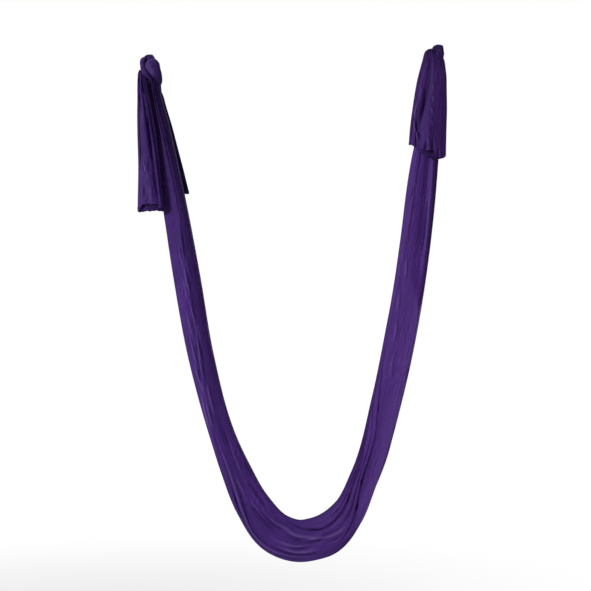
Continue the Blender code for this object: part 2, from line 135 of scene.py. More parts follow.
# Creases down the front of the sling, from the outer rim to the inner one.
# Each has places across (-1 outer, 1 inner) and heights left in the crease (1 is no crease),
# both at shares of the way along.
FRONT_CREASES = (
    (((0.00, -0.82), (0.20, -0.85), (0.38, -0.92), (0.47, -0.965), (0.58, -0.94), (0.75, -0.84),
      (1.00, -0.80)),
     ((0.00, 0.70), (0.30, 0.86), (0.38, 0.94), (0.47, 0.97), (0.55, 0.985), (0.78, 0.96), (0.92, 0.80),
      (1.00, 0.66))),
    (((0.00, -0.62), (0.15, -0.60), (0.30, -0.70), (0.38, -0.74), (0.42, -0.82), (0.47, -0.94),
      (0.56, -0.91), (0.66, -0.76), (0.80, -0.70), (0.91, -0.66), (1.00, -0.58)),
     ((0.00, 0.62), (0.25, 0.86), (0.36, 0.92), (0.42, 0.95), (0.50, 0.96), (0.54, 0.98), (0.62, 0.99),
      (0.76, 0.95), (0.90, 0.76), (1.00, 0.60))),
    (((0.00, -0.38), (0.15, -0.32), (0.30, -0.46), (0.36, -0.52), (0.397, -0.55), (0.41, -0.60),
      (0.422, -0.67), (0.433, -0.75), (0.445, -0.80), (0.457, -0.84), (0.475, -0.89), (0.488, -0.84),
      (0.50, -0.82), (0.54, -0.87), (0.60, -0.72), (0.70, -0.50), (0.84, -0.42), (0.93, -0.32),
      (1.00, -0.34)),
     ((0.00, 0.55), (0.12, 0.82), (0.24, 0.94), (0.34, 0.84), (0.39, 0.55), (0.42, 0.40), (0.47, 0.38),
      (0.495, 0.60), (0.52, 0.92), (0.60, 0.99), (0.80, 0.97), (0.92, 0.76), (1.00, 0.55))),
    (((0.00, -0.12), (0.14, -0.08), (0.24, -0.22), (0.34, -0.20), (0.40, -0.20), (0.422, -0.29),
      (0.436, -0.42), (0.446, -0.53), (0.457, -0.62), (0.489, -0.60), (0.52, -0.74), (0.56, -0.80),
      (0.61, -0.48), (0.70, -0.16), (0.84, -0.08), (1.00, -0.12)),
     ((0.00, 0.58), (0.10, 0.82), (0.20, 0.95), (0.36, 0.95), (0.42, 0.80), (0.45, 0.62), (0.48, 0.62),
      (0.51, 0.86), (0.60, 0.98), (0.80, 0.96), (0.90, 0.84), (1.00, 0.58))),
    (((0.00, 0.22), (0.13, 0.42), (0.16, 0.30), (0.19, 0.13), (0.22, 0.05), (0.27, 0.10), (0.34, 0.12),
      (0.39, -0.10), (0.435, -0.36), (0.47, -0.58), (0.52, -0.70), (0.56, -0.66), (0.61, -0.24),
      (0.68, 0.20), (0.80, 0.30), (0.90, 0.36), (1.00, 0.14)),
     ((0.00, 0.55), (0.12, 0.70), (0.20, 0.80), (0.28, 0.84), (0.34, 0.90), (0.40, 0.92), (0.48, 0.94),
      (0.54, 0.86), (0.66, 0.97), (0.80, 0.92), (0.90, 0.76), (1.00, 0.52))),
    (((0.00, 0.48), (0.13, 0.74), (0.22, 0.55), (0.30, 0.56), (0.345, 0.62), (0.385, 0.40),
      (0.424, 0.10), (0.45, -0.12), (0.48, -0.40), (0.51, -0.60), (0.535, -0.72), (0.555, -0.62),
      (0.575, -0.30), (0.60, 0.06), (0.62, 0.12), (0.645, 0.12), (0.675, 0.42), (0.712, 0.74),
      (0.75, 0.76), (0.88, 0.60), (1.00, 0.42)),
     ((0.00, 0.60), (0.15, 0.86), (0.30, 0.95), (0.37, 0.80), (0.43, 0.90), (0.48, 0.96), (0.525, 0.92),
      (0.548, 0.56), (0.57, 0.32), (0.62, 0.42), (0.68, 0.46), (0.74, 0.80), (0.84, 0.90), (0.92, 0.62),
      (1.00, 0.58))),
    (((0.00, 0.54), (0.13, 0.78), (0.22, 0.62), (0.30, 0.64), (0.345, 0.70), (0.385, 0.54),
      (0.424, 0.34), (0.45, 0.20), (0.48, -0.04), (0.50, -0.18), (0.52, -0.44), (0.535, -0.52),
      (0.555, -0.42), (0.575, -0.14), (0.60, 0.16), (0.645, 0.24), (0.675, 0.54), (0.712, 0.79),
      (0.88, 0.65), (1.00, 0.50)),
     ((0.00, 0.70), (0.15, 0.92), (0.30, 0.97), (0.42, 0.97), (0.48, 0.94), (0.54, 0.97), (0.80, 0.97),
      (1.00, 0.70))),
    (((0.00, 0.61), (0.13, 0.82), (0.22, 0.72), (0.30, 0.73), (0.38, 0.70), (0.424, 0.58), (0.45, 0.48),
      (0.48, 0.32), (0.50, 0.16), (0.515, -0.04), (0.532, -0.30), (0.546, -0.38), (0.564, -0.30),
      (0.585, 0.00), (0.61, 0.24), (0.645, 0.34), (0.675, 0.66), (0.712, 0.83), (0.88, 0.70),
      (1.00, 0.58)),
     ((0.00, 0.70), (0.15, 0.92), (0.30, 0.97), (0.42, 0.93), (0.48, 0.97), (0.54, 0.94), (0.80, 0.97),
      (1.00, 0.70))),
    (((0.00, 0.68), (0.13, 0.86), (0.30, 0.82), (0.38, 0.84), (0.44, 0.74), (0.475, 0.66), (0.50, 0.52),
      (0.515, 0.22), (0.532, -0.12), (0.546, -0.26), (0.564, -0.18), (0.585, 0.12), (0.61, 0.34),
      (0.641, 0.42), (0.674, 0.78), (0.71, 0.88), (0.80, 0.86), (0.90, 0.76), (1.00, 0.66)),
     ((0.00, 0.66), (0.15, 0.90), (0.34, 0.97), (0.46, 0.97), (0.49, 0.90), (0.52, 0.74), (0.55, 0.66),
      (0.58, 0.52), (0.62, 0.46), (0.67, 0.56), (0.80, 0.84), (1.00, 0.66))),
    (((0.00, 0.82), (0.20, 0.91), (0.38, 0.92), (0.45, 0.90), (0.484, 0.83), (0.502, 0.68),
      (0.518, 0.47), (0.53, 0.27), (0.547, 0.18), (0.562, 0.24), (0.575, 0.42), (0.597, 0.56),
      (0.62, 0.66), (0.65, 0.82), (0.69, 0.93), (0.85, 0.91), (1.00, 0.82)),
     ((0.00, 0.74), (0.30, 0.94), (0.45, 0.96), (0.475, 0.80), (0.495, 0.48), (0.52, 0.40),
      (0.545, 0.46), (0.57, 0.26), (0.60, 0.30), (0.63, 0.50), (0.80, 0.86), (1.00, 0.74))),
    (((0.00, 0.89), (0.20, 0.95), (0.38, 0.955), (0.46, 0.94), (0.49, 0.90), (0.51, 0.78), (0.53, 0.62),
      (0.55, 0.52), (0.57, 0.58), (0.59, 0.70), (0.62, 0.80), (0.66, 0.91), (0.70, 0.955), (0.85, 0.95),
      (1.00, 0.89)),
     ((0.00, 0.80), (0.34, 0.94), (0.47, 0.94), (0.51, 0.84), (0.55, 0.74), (0.58, 0.56), (0.62, 0.54),
      (0.66, 0.74), (0.80, 0.88), (1.00, 0.80))),
    (((0.00, 0.94), (0.20, 0.975), (0.38, 0.975), (0.47, 0.965), (0.50, 0.93), (0.53, 0.82),
      (0.56, 0.78), (0.59, 0.84), (0.63, 0.92), (0.69, 0.972), (0.85, 0.975), (1.00, 0.94)),
     ((0.00, 0.86), (0.38, 0.94), (0.47, 0.94), (0.52, 0.84), (0.56, 0.70), (0.60, 0.62), (0.70, 0.84),
      (1.00, 0.86))),
    (((0.00, 0.97), (0.38, 0.988), (0.47, 0.98), (0.52, 0.94), (0.56, 0.91), (0.60, 0.94),
      (0.64, 0.965), (0.72, 0.988), (1.00, 0.97)),
     ((0.00, 0.90), (0.42, 0.95), (0.50, 0.86), (0.56, 0.72), (0.64, 0.80), (1.00, 0.90))),
)

# Where the front and the back are thickest across, at shares of the way along
FRONT_PEAK = (
    (0.00, 0.05), (0.12, 0.40), (0.16, 0.20), (0.20, 0.10), (0.25, 0.12), (0.285, -0.02),
    (0.315, -0.26), (0.345, -0.42), (0.39, -0.34), (0.44, -0.46), (0.48, -0.60), (0.53, -0.66),
    (0.565, -0.95), (0.64, -0.97), (0.76, -0.96), (0.785, -0.70), (0.815, 0.20), (0.84, 0.52),
    (0.94, 0.50), (1.00, 0.20),
)
BACK_PEAK = ((0.0, 0.1), (0.3, -0.2), (0.55, 0.1), (0.8, 0.25), (1.0, 0.0))

# Broad ridges on the front, and valleys where the rise is below zero: places across, width and rise
FRONT_SWELLS = (
    (((0.00, 0.10), (0.13, 0.38), (0.15, 0.22), (0.18, 0.14), (0.22, 0.08), (0.26, 0.12),
      (0.285, -0.03), (0.312, -0.25), (0.338, -0.42), (0.372, -0.74), (0.40, -0.86), (1.00, -0.90)),
     0.11, ((0.00, 0.00), (0.11, 0.06), (0.16, 0.14), (0.30, 0.16), (0.36, 0.14), (0.40, 0.00),
            (1.00, 0.00))),
    (((0.00, -0.30), (0.36, -0.34), (0.402, -0.37), (0.414, -0.41), (0.426, -0.47), (0.438, -0.59),
      (0.450, -0.70), (0.460, -0.76), (0.479, -0.76), (0.492, -0.69), (0.53, -0.70), (1.00, -0.70)),
     0.11, ((0.00, 0.00), (0.34, 0.00), (0.39, 0.22), (0.43, 0.34), (0.48, 0.30), (0.51, 0.12),
            (0.54, 0.00), (1.00, 0.00))),
    (((0.00, -0.98), (1.00, -0.98)),
     0.42, ((0.00, 0.00), (0.50, 0.02), (0.56, 0.28), (0.64, 0.34), (0.74, 0.30), (0.82, 0.10),
            (0.90, 0.00), (1.00, 0.00))),
    (((0.00, 0.50), (0.54, 0.30), (0.58, 0.42), (0.64, 0.72), (0.70, 0.85), (1.00, 0.85)),
     0.26, ((0.00, 0.00), (0.50, -0.02), (0.56, -0.12), (0.63, -0.20), (0.69, -0.12), (0.76, 0.00),
            (1.00, 0.00))),
    (((0.00, -0.68), (0.80, -0.76), (0.88, -0.70), (0.95, -0.58), (1.00, -0.50)),
     0.13, ((0.00, 0.00), (0.79, 0.00), (0.85, 0.34), (0.93, 0.40), (1.00, 0.16))),
    (((0.00, 0.60), (0.78, 0.74), (0.83, 0.68), (0.87, 0.56), (0.92, 0.52), (1.00, 0.40)),
     0.13, ((0.00, 0.00), (0.74, 0.00), (0.80, 0.14), (0.86, 0.16), (0.93, 0.12), (1.00, 0.00))),
    (((0.00, -0.35), (0.82, -0.34), (0.90, -0.30), (1.00, -0.20)),
     0.20, ((0.00, 0.00), (0.79, 0.00), (0.85, -0.12), (0.92, -0.16), (1.00, -0.08))),
    (((0.00, 0.40), (0.28, 0.55), (0.36, 0.36), (0.42, 0.16), (0.48, 0.20), (1.00, 0.00)),
     0.34, ((0.00, 0.00), (0.26, -0.02), (0.36, -0.07), (0.44, -0.06), (0.50, 0.00), (1.00, 0.00))),
)

# Single wrinkles on the front: where each starts and ends (along, across), its width and its rise,
# which is below zero for a crease
FRONT_LINES = (
    ((0.150, 0.24), (0.174, 0.12), 0.0040, 0.0034),
    ((0.184, 0.00), (0.212, 0.12), 0.0040, 0.0058),
    ((0.196, -0.24), (0.226, -0.10), 0.0034, 0.0050),
    ((0.204, -0.18), (0.244, 0.08), 0.0042, -0.0030),
    ((0.216, -0.04), (0.256, 0.20), 0.0038, 0.0064),
    ((0.228, -0.38), (0.260, -0.24), 0.0036, 0.0054),
    ((0.230, -0.08), (0.274, 0.04), 0.0042, -0.0032),
    ((0.246, 0.05), (0.290, 0.10), 0.0038, 0.0062),
    ((0.254, -0.48), (0.292, -0.31), 0.0036, 0.0060),
    ((0.264, -0.16), (0.310, -0.40), 0.0044, -0.0034),
    ((0.282, -0.58), (0.316, -0.38), 0.0036, 0.0060),
    ((0.312, -0.58), (0.356, -0.76), 0.0038, 0.0058),
    ((0.340, 0.33), (0.414, 0.20), 0.0062, -0.0028),
    ((0.366, 0.46), (0.410, 0.30), 0.0042, 0.0050),
    ((0.418, -0.04), (0.484, 0.16), 0.0056, -0.0040),
    ((0.424, 0.06), (0.470, 0.22), 0.0052, 0.0044),
    ((0.446, 0.22), (0.490, 0.44), 0.0056, -0.0060),
    ((0.452, 0.34), (0.492, 0.54), 0.0052, 0.0050),
    ((0.474, -0.25), (0.520, -0.17), 0.0050, 0.0056),
    ((0.478, -0.35), (0.522, -0.30), 0.0048, -0.0052),
    ((0.482, -0.44), (0.522, -0.54), 0.0048, 0.0054),
    ((0.480, -0.56), (0.524, -0.64), 0.0038, -0.0044),
    ((0.496, -0.08), (0.530, -0.16), 0.0048, -0.0046),
    ((0.500, 0.02), (0.528, -0.04), 0.0048, 0.0052),
    ((0.476, 0.52), (0.530, 0.00), 0.0052, 0.0050),
    ((0.484, 0.26), (0.536, -0.30), 0.0052, -0.0048),
    ((0.510, 0.08), (0.552, -0.50), 0.0046, 0.0044),
    ((0.524, -0.34), (0.548, -0.66), 0.0040, -0.0034),
    ((0.408, 0.52), (0.452, 0.62), 0.0044, -0.0034),
    ((0.402, -0.14), (0.446, 0.02), 0.0044, 0.0040),
    ((0.160, -0.16), (0.190, -0.04), 0.0034, 0.0044),
    ((0.172, 0.26), (0.204, 0.34), 0.0034, 0.0040),
    ((0.236, 0.30), (0.270, 0.34), 0.0034, 0.0038),
    ((0.270, -0.10), (0.304, -0.04), 0.0036, 0.0046),
    ((0.304, 0.10), (0.340, 0.02), 0.0036, 0.0040),
    ((0.322, -0.30), (0.356, -0.42), 0.0036, 0.0050),
    ((0.700, 0.08), (0.730, 0.20), 0.0042, 0.0034),
    ((0.735, 0.24), (0.762, 0.38), 0.0040, 0.0042),
    ((0.764, 0.40), (0.794, 0.56), 0.0040, 0.0044),
    ((0.800, 0.28), (0.824, 0.38), 0.0040, 0.0034),
)

# Broad bands of painted shade on a face, and of painted highlight where the depth is below zero:
# places across, width, and depth at shares of the way along
FRONT_SHADE_BANDS = (
    (((0.00, 0.85), (0.14, 0.85), (0.20, 0.78), (0.30, 0.70), (1.00, 0.60)),
     0.60, ((0.00, 0.30), (0.10, 0.34), (0.20, 0.36), (0.30, 0.32), (0.36, 0.14), (0.42, 0.00),
            (1.00, 0.00))),
    (((0.00, -0.40), (1.00, -0.40)),
     0.40, ((0.00, 0.00), (0.12, 0.00), (0.18, -0.06), (0.30, -0.12), (0.37, 0.00), (1.00, 0.00))),
    (((0.00, -0.96), (1.00, -0.96)),
     0.14, ((0.00, 0.00), (0.35, 0.00), (0.39, 0.44), (0.45, 0.36), (0.48, 0.00), (1.00, 0.00))),
    (((0.00, -0.30), (0.36, -0.34), (0.402, -0.37), (0.414, -0.41), (0.426, -0.47), (0.438, -0.59),
      (0.450, -0.72), (0.460, -0.79), (0.479, -0.78), (0.492, -0.69), (1.00, -0.69)),
     0.09, ((0.00, 0.00), (0.36, 0.00), (0.40, -0.60), (0.43, -0.70), (0.47, -0.55), (0.50, -0.30),
            (0.53, 0.00), (1.00, 0.00))),
    (((0.00, 0.60), (0.50, 0.70), (0.518, 0.46), (0.53, 0.30), (0.545, 0.21), (0.557, 0.23),
      (0.570, 0.33), (0.581, 0.44), (0.593, 0.57), (0.605, 0.67), (0.64, 0.82), (1.00, 0.90)),
     0.055, ((0.00, 0.00), (0.49, 0.00), (0.52, 0.40), (0.55, 0.50), (0.57, 0.85), (0.59, 0.85),
             (0.62, 0.55), (0.66, 0.00), (1.00, 0.00))),
    (((0.00, -0.80), (0.548, -0.76), (0.560, -0.64), (0.576, -0.30), (0.594, -0.10), (0.609, 0.00),
      (0.64, 0.10), (0.68, 0.42), (1.00, 0.60)),
     0.07, ((0.00, 0.00), (0.54, 0.00), (0.56, 0.60), (0.60, 0.50), (0.66, 0.36), (0.70, 0.00),
            (1.00, 0.00))),
    (((0.00, 0.10), (1.00, 0.10)),
     0.60, ((0.00, 0.00), (0.38, 0.00), (0.46, 0.10), (0.54, 0.14), (0.60, 0.10), (0.66, 0.00),
            (1.00, 0.00))),
    (((0.00, 0.96), (1.00, 0.96)),
     0.14, ((0.00, 0.00), (0.52, 0.00), (0.56, 0.36), (0.62, 0.36), (0.68, 0.10), (0.76, 0.00),
            (1.00, 0.00))),
    (((0.00, -0.80), (1.00, -0.80)),
     0.45, ((0.00, 0.00), (0.52, 0.00), (0.57, -0.12), (0.66, -0.18), (0.76, -0.10), (0.80, 0.00),
            (1.00, 0.00))),
    (((0.00, -0.76), (0.80, -0.76), (0.88, -0.70), (0.95, -0.58), (1.00, -0.50)),
     0.10, ((0.00, 0.00), (0.80, 0.00), (0.86, -0.40), (0.94, -0.40), (1.00, 0.00))),
    (((0.00, 0.60), (0.78, 0.74), (0.83, 0.68), (0.87, 0.56), (0.92, 0.52), (1.00, 0.40)),
     0.10, ((0.00, 0.00), (0.76, 0.00), (0.82, -0.30), (0.90, -0.30), (0.96, 0.00), (1.00, 0.00))),
    (((0.00, -0.98), (1.00, -0.98)), 0.08, ((0.00, 0.00), (0.76, 0.00), (0.84, 0.60), (1.00, 0.60))),
    (((0.00, -0.30), (0.82, -0.30), (0.90, -0.26), (1.00, -0.20)),
     0.22, ((0.00, 0.00), (0.80, 0.00), (0.86, 0.20), (0.95, 0.24), (1.00, 0.24))),
)
LEFT_TAIL_SHADE_BANDS = (
    (((0.00, -0.50), (1.00, -0.50)),
     0.30, ((0.00, 0.00), (0.15, 0.18), (0.55, 0.16), (0.75, 0.00), (1.00, 0.00))),
    (((0.00, -0.92), (1.00, -0.92)),
     0.24, ((0.00, 0.80), (0.55, 0.86), (0.68, 0.50), (0.80, 0.00), (1.00, 0.00))),
)
RIGHT_TAIL_SHADE_BANDS = (
    (((0.00, 0.10), (1.00, 0.10)), 0.50, ((0.00, 0.10), (0.30, 0.18), (0.70, 0.14), (1.00, 0.00))),
    (((0.00, -0.98), (1.00, -0.98)),
     0.10, ((0.00, 0.00), (0.30, 0.20), (0.50, 0.60), (0.90, 0.60), (1.00, 0.40))),
    (((0.00, 0.85), (1.00, 0.85)), 0.36, ((0.00, 0.06), (0.30, 0.16), (1.00, 0.16))),
)

# Fine wrinkles along the sling: how strong they are at shares of the way along
WRINKLE_RUN = (
    (0.00, 0.80), (0.12, 0.90), (0.20, 1.20), (0.30, 1.10), (0.37, 0.80), (0.45, 1.20), (0.54, 1.30),
    (0.62, 0.50), (0.75, 0.40), (0.90, 0.55), (1.00, 0.80),
)

# Tails with their gathers: height, left edge and right edge from their own eye, and thickness
TAIL_BACK = -0.0258
LEFT_TAIL_ROWS = (
    (-0.036, -0.032, -0.012, 0.013),
    (-0.046, -0.035, -0.006, 0.017),
    (-0.060, -0.036, -0.003, 0.020),
    (-0.090, -0.037, -0.001, 0.021),
    (-0.135, -0.037, 0.008, 0.021),
    (-0.187, -0.038, 0.018, 0.022),
    (-0.239, -0.037, 0.028, 0.023),
    (-0.330, -0.034, 0.040, 0.026),
    (-0.430, -0.033, 0.050, 0.029),
    (-0.521, -0.034, 0.059, 0.032),
)
RIGHT_TAIL_ROWS = (
    (0.003, -0.034, -0.016, 0.008),
    (-0.001, -0.042, -0.010, 0.012),
    (-0.007, -0.047, -0.003, 0.016),
    (-0.014, -0.050, 0.003, 0.018),
    (-0.030, -0.054, 0.014, 0.020),
    (-0.063, -0.063, 0.021, 0.021),
    (-0.090, -0.070, 0.024, 0.021),
    (-0.130, -0.078, 0.025, 0.022),
    (-0.196, -0.087, 0.026, 0.026),
    (-0.270, -0.095, 0.024, 0.029),
    (-0.350, -0.101, 0.023, 0.032),
)

# Creases down the tails, from the left edge to the right one, at shares of the way down
LEFT_TAIL_CREASES = (
    (((0.00, -0.74), (0.20, -0.66), (0.60, -0.66), (0.80, -0.80), (1.00, -0.86)),
     ((0.00, 0.50), (0.20, 0.46), (0.56, 0.50), (0.72, 0.80), (1.00, 0.90))),
    (((0.00, -0.50), (0.25, -0.46), (0.50, -0.42), (1.00, -0.46)),
     ((0.00, 0.45), (0.20, 0.60), (0.34, 0.94), (0.60, 0.97), (1.00, 0.84))),
    (((0.00, -0.15), (0.12, -0.10), (0.24, 0.22), (0.40, 0.06), (1.00, -0.12)),
     ((0.00, 0.45), (0.12, 0.40), (0.25, 0.50), (0.36, 0.86), (0.60, 0.97), (0.80, 0.93),
      (1.00, 0.76))),
    (((0.00, 0.20), (0.12, 0.24), (0.24, 0.46), (0.40, 0.34), (0.56, 0.42), (0.72, 0.56), (1.00, 0.66)),
     ((0.00, 0.40), (0.20, 0.50), (0.38, 0.40), (0.56, 0.36), (0.72, 0.40), (0.90, 0.60),
      (1.00, 0.80))),
    (((0.00, 0.46), (0.20, 0.68), (0.40, 0.72), (0.70, 0.86), (1.00, 0.90)),
     ((0.00, 0.40), (0.30, 0.46), (0.70, 0.50), (0.90, 0.60), (1.00, 0.70))),
    (((0.00, 0.78), (0.40, 0.88), (1.00, 0.95)), ((0.00, 0.50), (0.40, 0.60), (1.00, 0.80))),
)
LEFT_TAIL_PEAK = ((0.0, 0.0), (0.3, -0.2), (1.0, -0.35))
LEFT_TAIL_SWELLS = (
    (((0.00, 0.00), (0.12, 0.06), (0.20, 0.40), (0.26, 0.58), (0.38, 0.58), (0.56, 0.70), (0.72, 0.78),
      (1.00, 0.90)),
     0.08, ((0.00, 0.10), (0.12, 0.26), (0.50, 0.30), (0.90, 0.28), (1.00, 0.10))),
    (((0.00, 0.20), (0.26, 0.30), (0.38, 0.28), (0.56, 0.36), (0.72, 0.50), (1.00, 0.68)),
     0.14, ((0.00, -0.10), (0.20, -0.24), (0.38, -0.34), (0.60, -0.30), (0.90, -0.16), (1.00, 0.00))),
    (((0.00, -0.40), (0.30, -0.34), (1.00, -0.30)),
     0.20, ((0.00, -0.20), (0.18, -0.34), (0.30, -0.16), (0.42, 0.00), (1.00, 0.00))),
    (((0.00, -0.90), (1.00, -0.92)),
     0.16, ((0.00, -0.10), (0.20, -0.16), (0.56, -0.14), (0.80, 0.00), (1.00, 0.10))),
)
LEFT_TAIL_LINES = (
    ((0.06, -0.56), (0.20, -0.44), 0.0034, 0.0044),
    ((0.10, -0.16), (0.30, -0.20), 0.0036, 0.0036),
    ((0.66, -0.40), (0.74, -0.16), 0.0036, 0.0040),
    ((0.70, -0.12), (0.76, -0.34), 0.0034, 0.0036),
    ((0.72, -0.16), (0.82, 0.14), 0.0036, 0.0036),
    ((0.62, 0.08), (0.78, 0.22), 0.0040, -0.0036),
    ((0.84, -0.30), (0.97, -0.36), 0.0040, -0.0040),
    ((0.84, 0.10), (0.99, 0.16), 0.0040, 0.0036),
)
RIGHT_TAIL_CREASES = (
    (((0.00, -0.78), (0.40, -0.82), (1.00, -0.88)),
     ((0.00, 0.60), (0.50, 0.70), (0.80, 0.60), (1.00, 0.80))),
    (((0.00, -0.52), (0.30, -0.58), (0.60, -0.72), (0.80, -0.66), (1.00, -0.58)),
     ((0.00, 0.60), (0.30, 0.94), (0.60, 0.80), (0.80, 0.50), (1.00, 0.70))),
    (((0.00, -0.20), (0.09, -0.26), (0.20, -0.22), (0.30, -0.18), (0.47, -0.28), (0.62, -0.38),
      (0.80, -0.48), (1.00, -0.42)),
     ((0.00, 0.45), (0.20, 0.40), (0.50, 0.42), (0.66, 0.60), (0.80, 0.84), (1.00, 0.76))),
    (((0.00, 0.22), (0.14, 0.26), (0.30, 0.20), (0.60, 0.05), (0.85, -0.02), (1.00, -0.10)),
     ((0.00, 0.50), (0.14, 0.60), (0.28, 0.90), (0.60, 0.97), (0.80, 0.85), (1.00, 0.50))),
    (((0.00, 0.46), (0.40, 0.42), (0.70, 0.36), (1.00, 0.28)),
     ((0.00, 0.60), (0.30, 0.92), (0.60, 0.97), (0.85, 0.85), (1.00, 0.45))),
    (((0.00, 0.72), (0.40, 0.68), (1.00, 0.60)),
     ((0.00, 0.60), (0.40, 0.92), (0.80, 0.90), (1.00, 0.60))),
    (((0.00, 0.88), (1.00, 0.86)), ((0.00, 0.70), (0.50, 0.90), (1.00, 0.80))),
)
RIGHT_TAIL_PEAK = ((0.0, 0.0), (0.2, 0.1), (0.4, 0.16), (1.0, 0.1))
RIGHT_TAIL_SWELLS = (
    (((0.00, -0.20), (0.20, -0.22), (0.30, -0.18), (0.47, -0.28), (0.62, -0.38), (0.80, -0.48),
      (1.00, -0.46)),
     0.13, ((0.00, -0.20), (0.20, -0.38), (0.50, -0.40), (0.66, -0.22), (0.80, -0.04), (1.00, 0.00))),
    (((0.00, -0.60), (0.40, -0.58), (0.70, -0.74), (1.00, -0.80)),
     0.12, ((0.00, 0.00), (0.40, 0.08), (0.70, 0.20), (1.00, 0.12))),
    (((0.00, 0.20), (0.40, 0.10), (0.80, 0.06), (1.00, 0.10)),
     0.16, ((0.00, 0.00), (0.60, 0.02), (0.85, 0.18), (1.00, 0.08))),
    (((0.00, 0.80), (1.00, 0.90)), 0.30, ((0.00, 0.00), (0.20, -0.10), (0.80, -0.14), (1.00, -0.04))),
)
RIGHT_TAIL_LINES = (
    ((0.32, 0.12), (0.42, 0.24), 0.0036, 0.0044),
    ((0.44, 0.20), (0.52, 0.26), 0.0034, 0.0036),
    ((0.56, 0.12), (0.64, 0.28), 0.0036, 0.0042),
    ((0.68, 0.18), (0.76, 0.34), 0.0036, 0.0040),
    ((0.36, -0.56), (0.46, -0.62), 0.0034, 0.0036),
    ((0.50, -0.74), (0.70, -0.86), 0.0036, 0.0050),
    ((0.70, -0.82), (0.84, -0.66), 0.0036, 0.0048),
    ((0.78, -0.72), (0.92, -0.52), 0.0040, 0.0056),
    ((0.80, -0.50), (0.90, -0.34), 0.0036, -0.0046),
    ((0.84, 0.02), (0.98, 0.06), 0.0040, 0.0046),
)

# How far the front's hem hangs below the last row of the tail, across it from left to right
LEFT_HEM_DROP = (
    (-1.00, 0.006), (-0.84, 0.000), (-0.60, -0.013), (-0.10, -0.020), (0.30, -0.018), (0.70, -0.014),
    (1.00, -0.008),
)
RIGHT_HEM_DROP = (
    (-1.00, -0.034), (-0.80, -0.030), (-0.50, -0.018), (-0.10, -0.013), (0.30, -0.013), (0.44, 0.000),
    (0.60, 0.008), (1.00, 0.010),
)

# How far the inner layers' hems hang below that
LEFT_INNER_DROP = ((-1.00, 0.006), (-0.60, 0.006), (0.00, 0.002), (0.60, 0.006), (1.00, 0.006))
RIGHT_INNER_DROP = (
    (-1.00, -0.034), (-0.60, -0.022), (-0.15, 0.002), (0.40, 0.014), (0.70, 0.012), (1.00, 0.006),
)

# The hem: how much cloth is turned up behind, the height of the ridge where it is sewn, how far its
# edge is rounded out below, and how far behind the front the turned cloth lies
HEM_FOLD = 0.009
HEM_RIDGE = 0.0004
HEM_ROUND = 0.0005
HEM_GAP = 0.0009
SEAM_PROUD = 0.0003

# Where down a tail the drop of its hem, its flare and the painted shade in its hollows set in, and over
# which share of it
DROP_RUN = (0.35, 0.65)
FLARE_RUN = (0.93, 0.07)
HOLLOW_RUN = (0.80, 0.12)

# How far the hem waves up and down and curls, and how far a whole tail sways from its outline
HEM_LEAST_DROP = 0.002
HEM_WAVE = 0.004
INNER_WAVE = 0.010
INNER_RISE = 0.006
RUFFLE = 0.0035
TAIL_SWAY = 0.004
TAIL_CURL = 0.007
FLAP_CURL = 0.003

# The half of the left tail behind the strand: how far it reaches behind the strand and past its inner
# edge, and how far and for which share of its length its gathers draw it in
FLAP_TOP = -0.080
FLAP_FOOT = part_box("left_tail_back")[0].z
FLAP_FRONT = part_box("left_tail_back")[0].y
FLAP_CLEARANCE = 0.0004
FLAP_DEPTH = 0.009
FLAP_COVER = 0.023
FLAP_PROUD = 0.012
FLAP_DRAWN_IN = 0.016
FLAP_GATHERED_SHARE = 0.14
# Reach of the painted shade at the flap's gathered top
FLAP_KNOT_SHADE = 0.02
FLAP_ROWS = 90
FLAP_PASSES = 6
FLAP_HEM_DROP = ((-1.0, 0.0), (0.0, 0.003), (1.0, -0.002))

# The left leg of the sling lies before this share of the way along
LEFT_LEG_END = 0.4

# Turns of the knots, from their own eye: place, half width and half thickness down the route
LEFT_LOBE_ROUTE = (
    ((0.008, -0.021, -0.001), 0.007, 0.003),
    ((0.013, -0.032, -0.008), 0.017, 0.009),
    ((0.019, -0.041, -0.022), 0.024, 0.013),
    ((0.028, -0.044, -0.040), 0.021, 0.013),
    ((0.037, -0.042, -0.057), 0.016, 0.011),
    ((0.041, -0.029, -0.073), 0.010, 0.008),
    ((0.038, -0.011, -0.087), 0.004, 0.003),
)
LEFT_BAND_ROUTE = (
    ((0.022, -0.014, -0.078), 0.008, 0.006),
    ((0.028, 0.004, -0.070), 0.012, 0.008),
    ((0.022, 0.026, -0.060), 0.013, 0.008),
    ((0.002, 0.036, -0.046), 0.014, 0.008),
    ((-0.015, 0.026, -0.015), 0.012, 0.008),
    ((-0.020, 0.006, 0.004), 0.011, 0.008),
    ((-0.020, -0.016, 0.003), 0.011, 0.008),
    ((-0.018, -0.033, -0.018), 0.009, 0.007),
    ((-0.011, -0.042, -0.040), 0.009, 0.007),
    ((-0.001, -0.046, -0.053), 0.008, 0.007),
    ((0.007, -0.041, -0.064), 0.006, 0.005),
    ((0.011, -0.030, -0.073), 0.003, 0.003),
)
RIGHT_LOBE_ROUTE = (
    ((-0.012, -0.026, -0.004), 0.006, 0.003),
    ((-0.006, -0.033, -0.011), 0.016, 0.007),
    ((-0.002, -0.036, -0.022), 0.018, 0.008),
    ((0.002, -0.034, -0.035), 0.013, 0.007),
    ((0.005, -0.029, -0.047), 0.006, 0.004),
)
RIGHT_BAND_ROUTE = (
    ((-0.010, -0.034, -0.050), 0.006, 0.005),
    ((0.003, -0.026, -0.044), 0.011, 0.007),
    ((0.008, -0.008, -0.040), 0.013, 0.007),
    ((0.006, 0.018, -0.046), 0.014, 0.008),
    ((-0.008, 0.033, -0.056), 0.014, 0.008),
    ((-0.028, 0.026, -0.064), 0.013, 0.008),
    ((-0.037, 0.008, -0.066), 0.011, 0.007),
    ((-0.035, -0.012, -0.060), 0.008, 0.005),
)
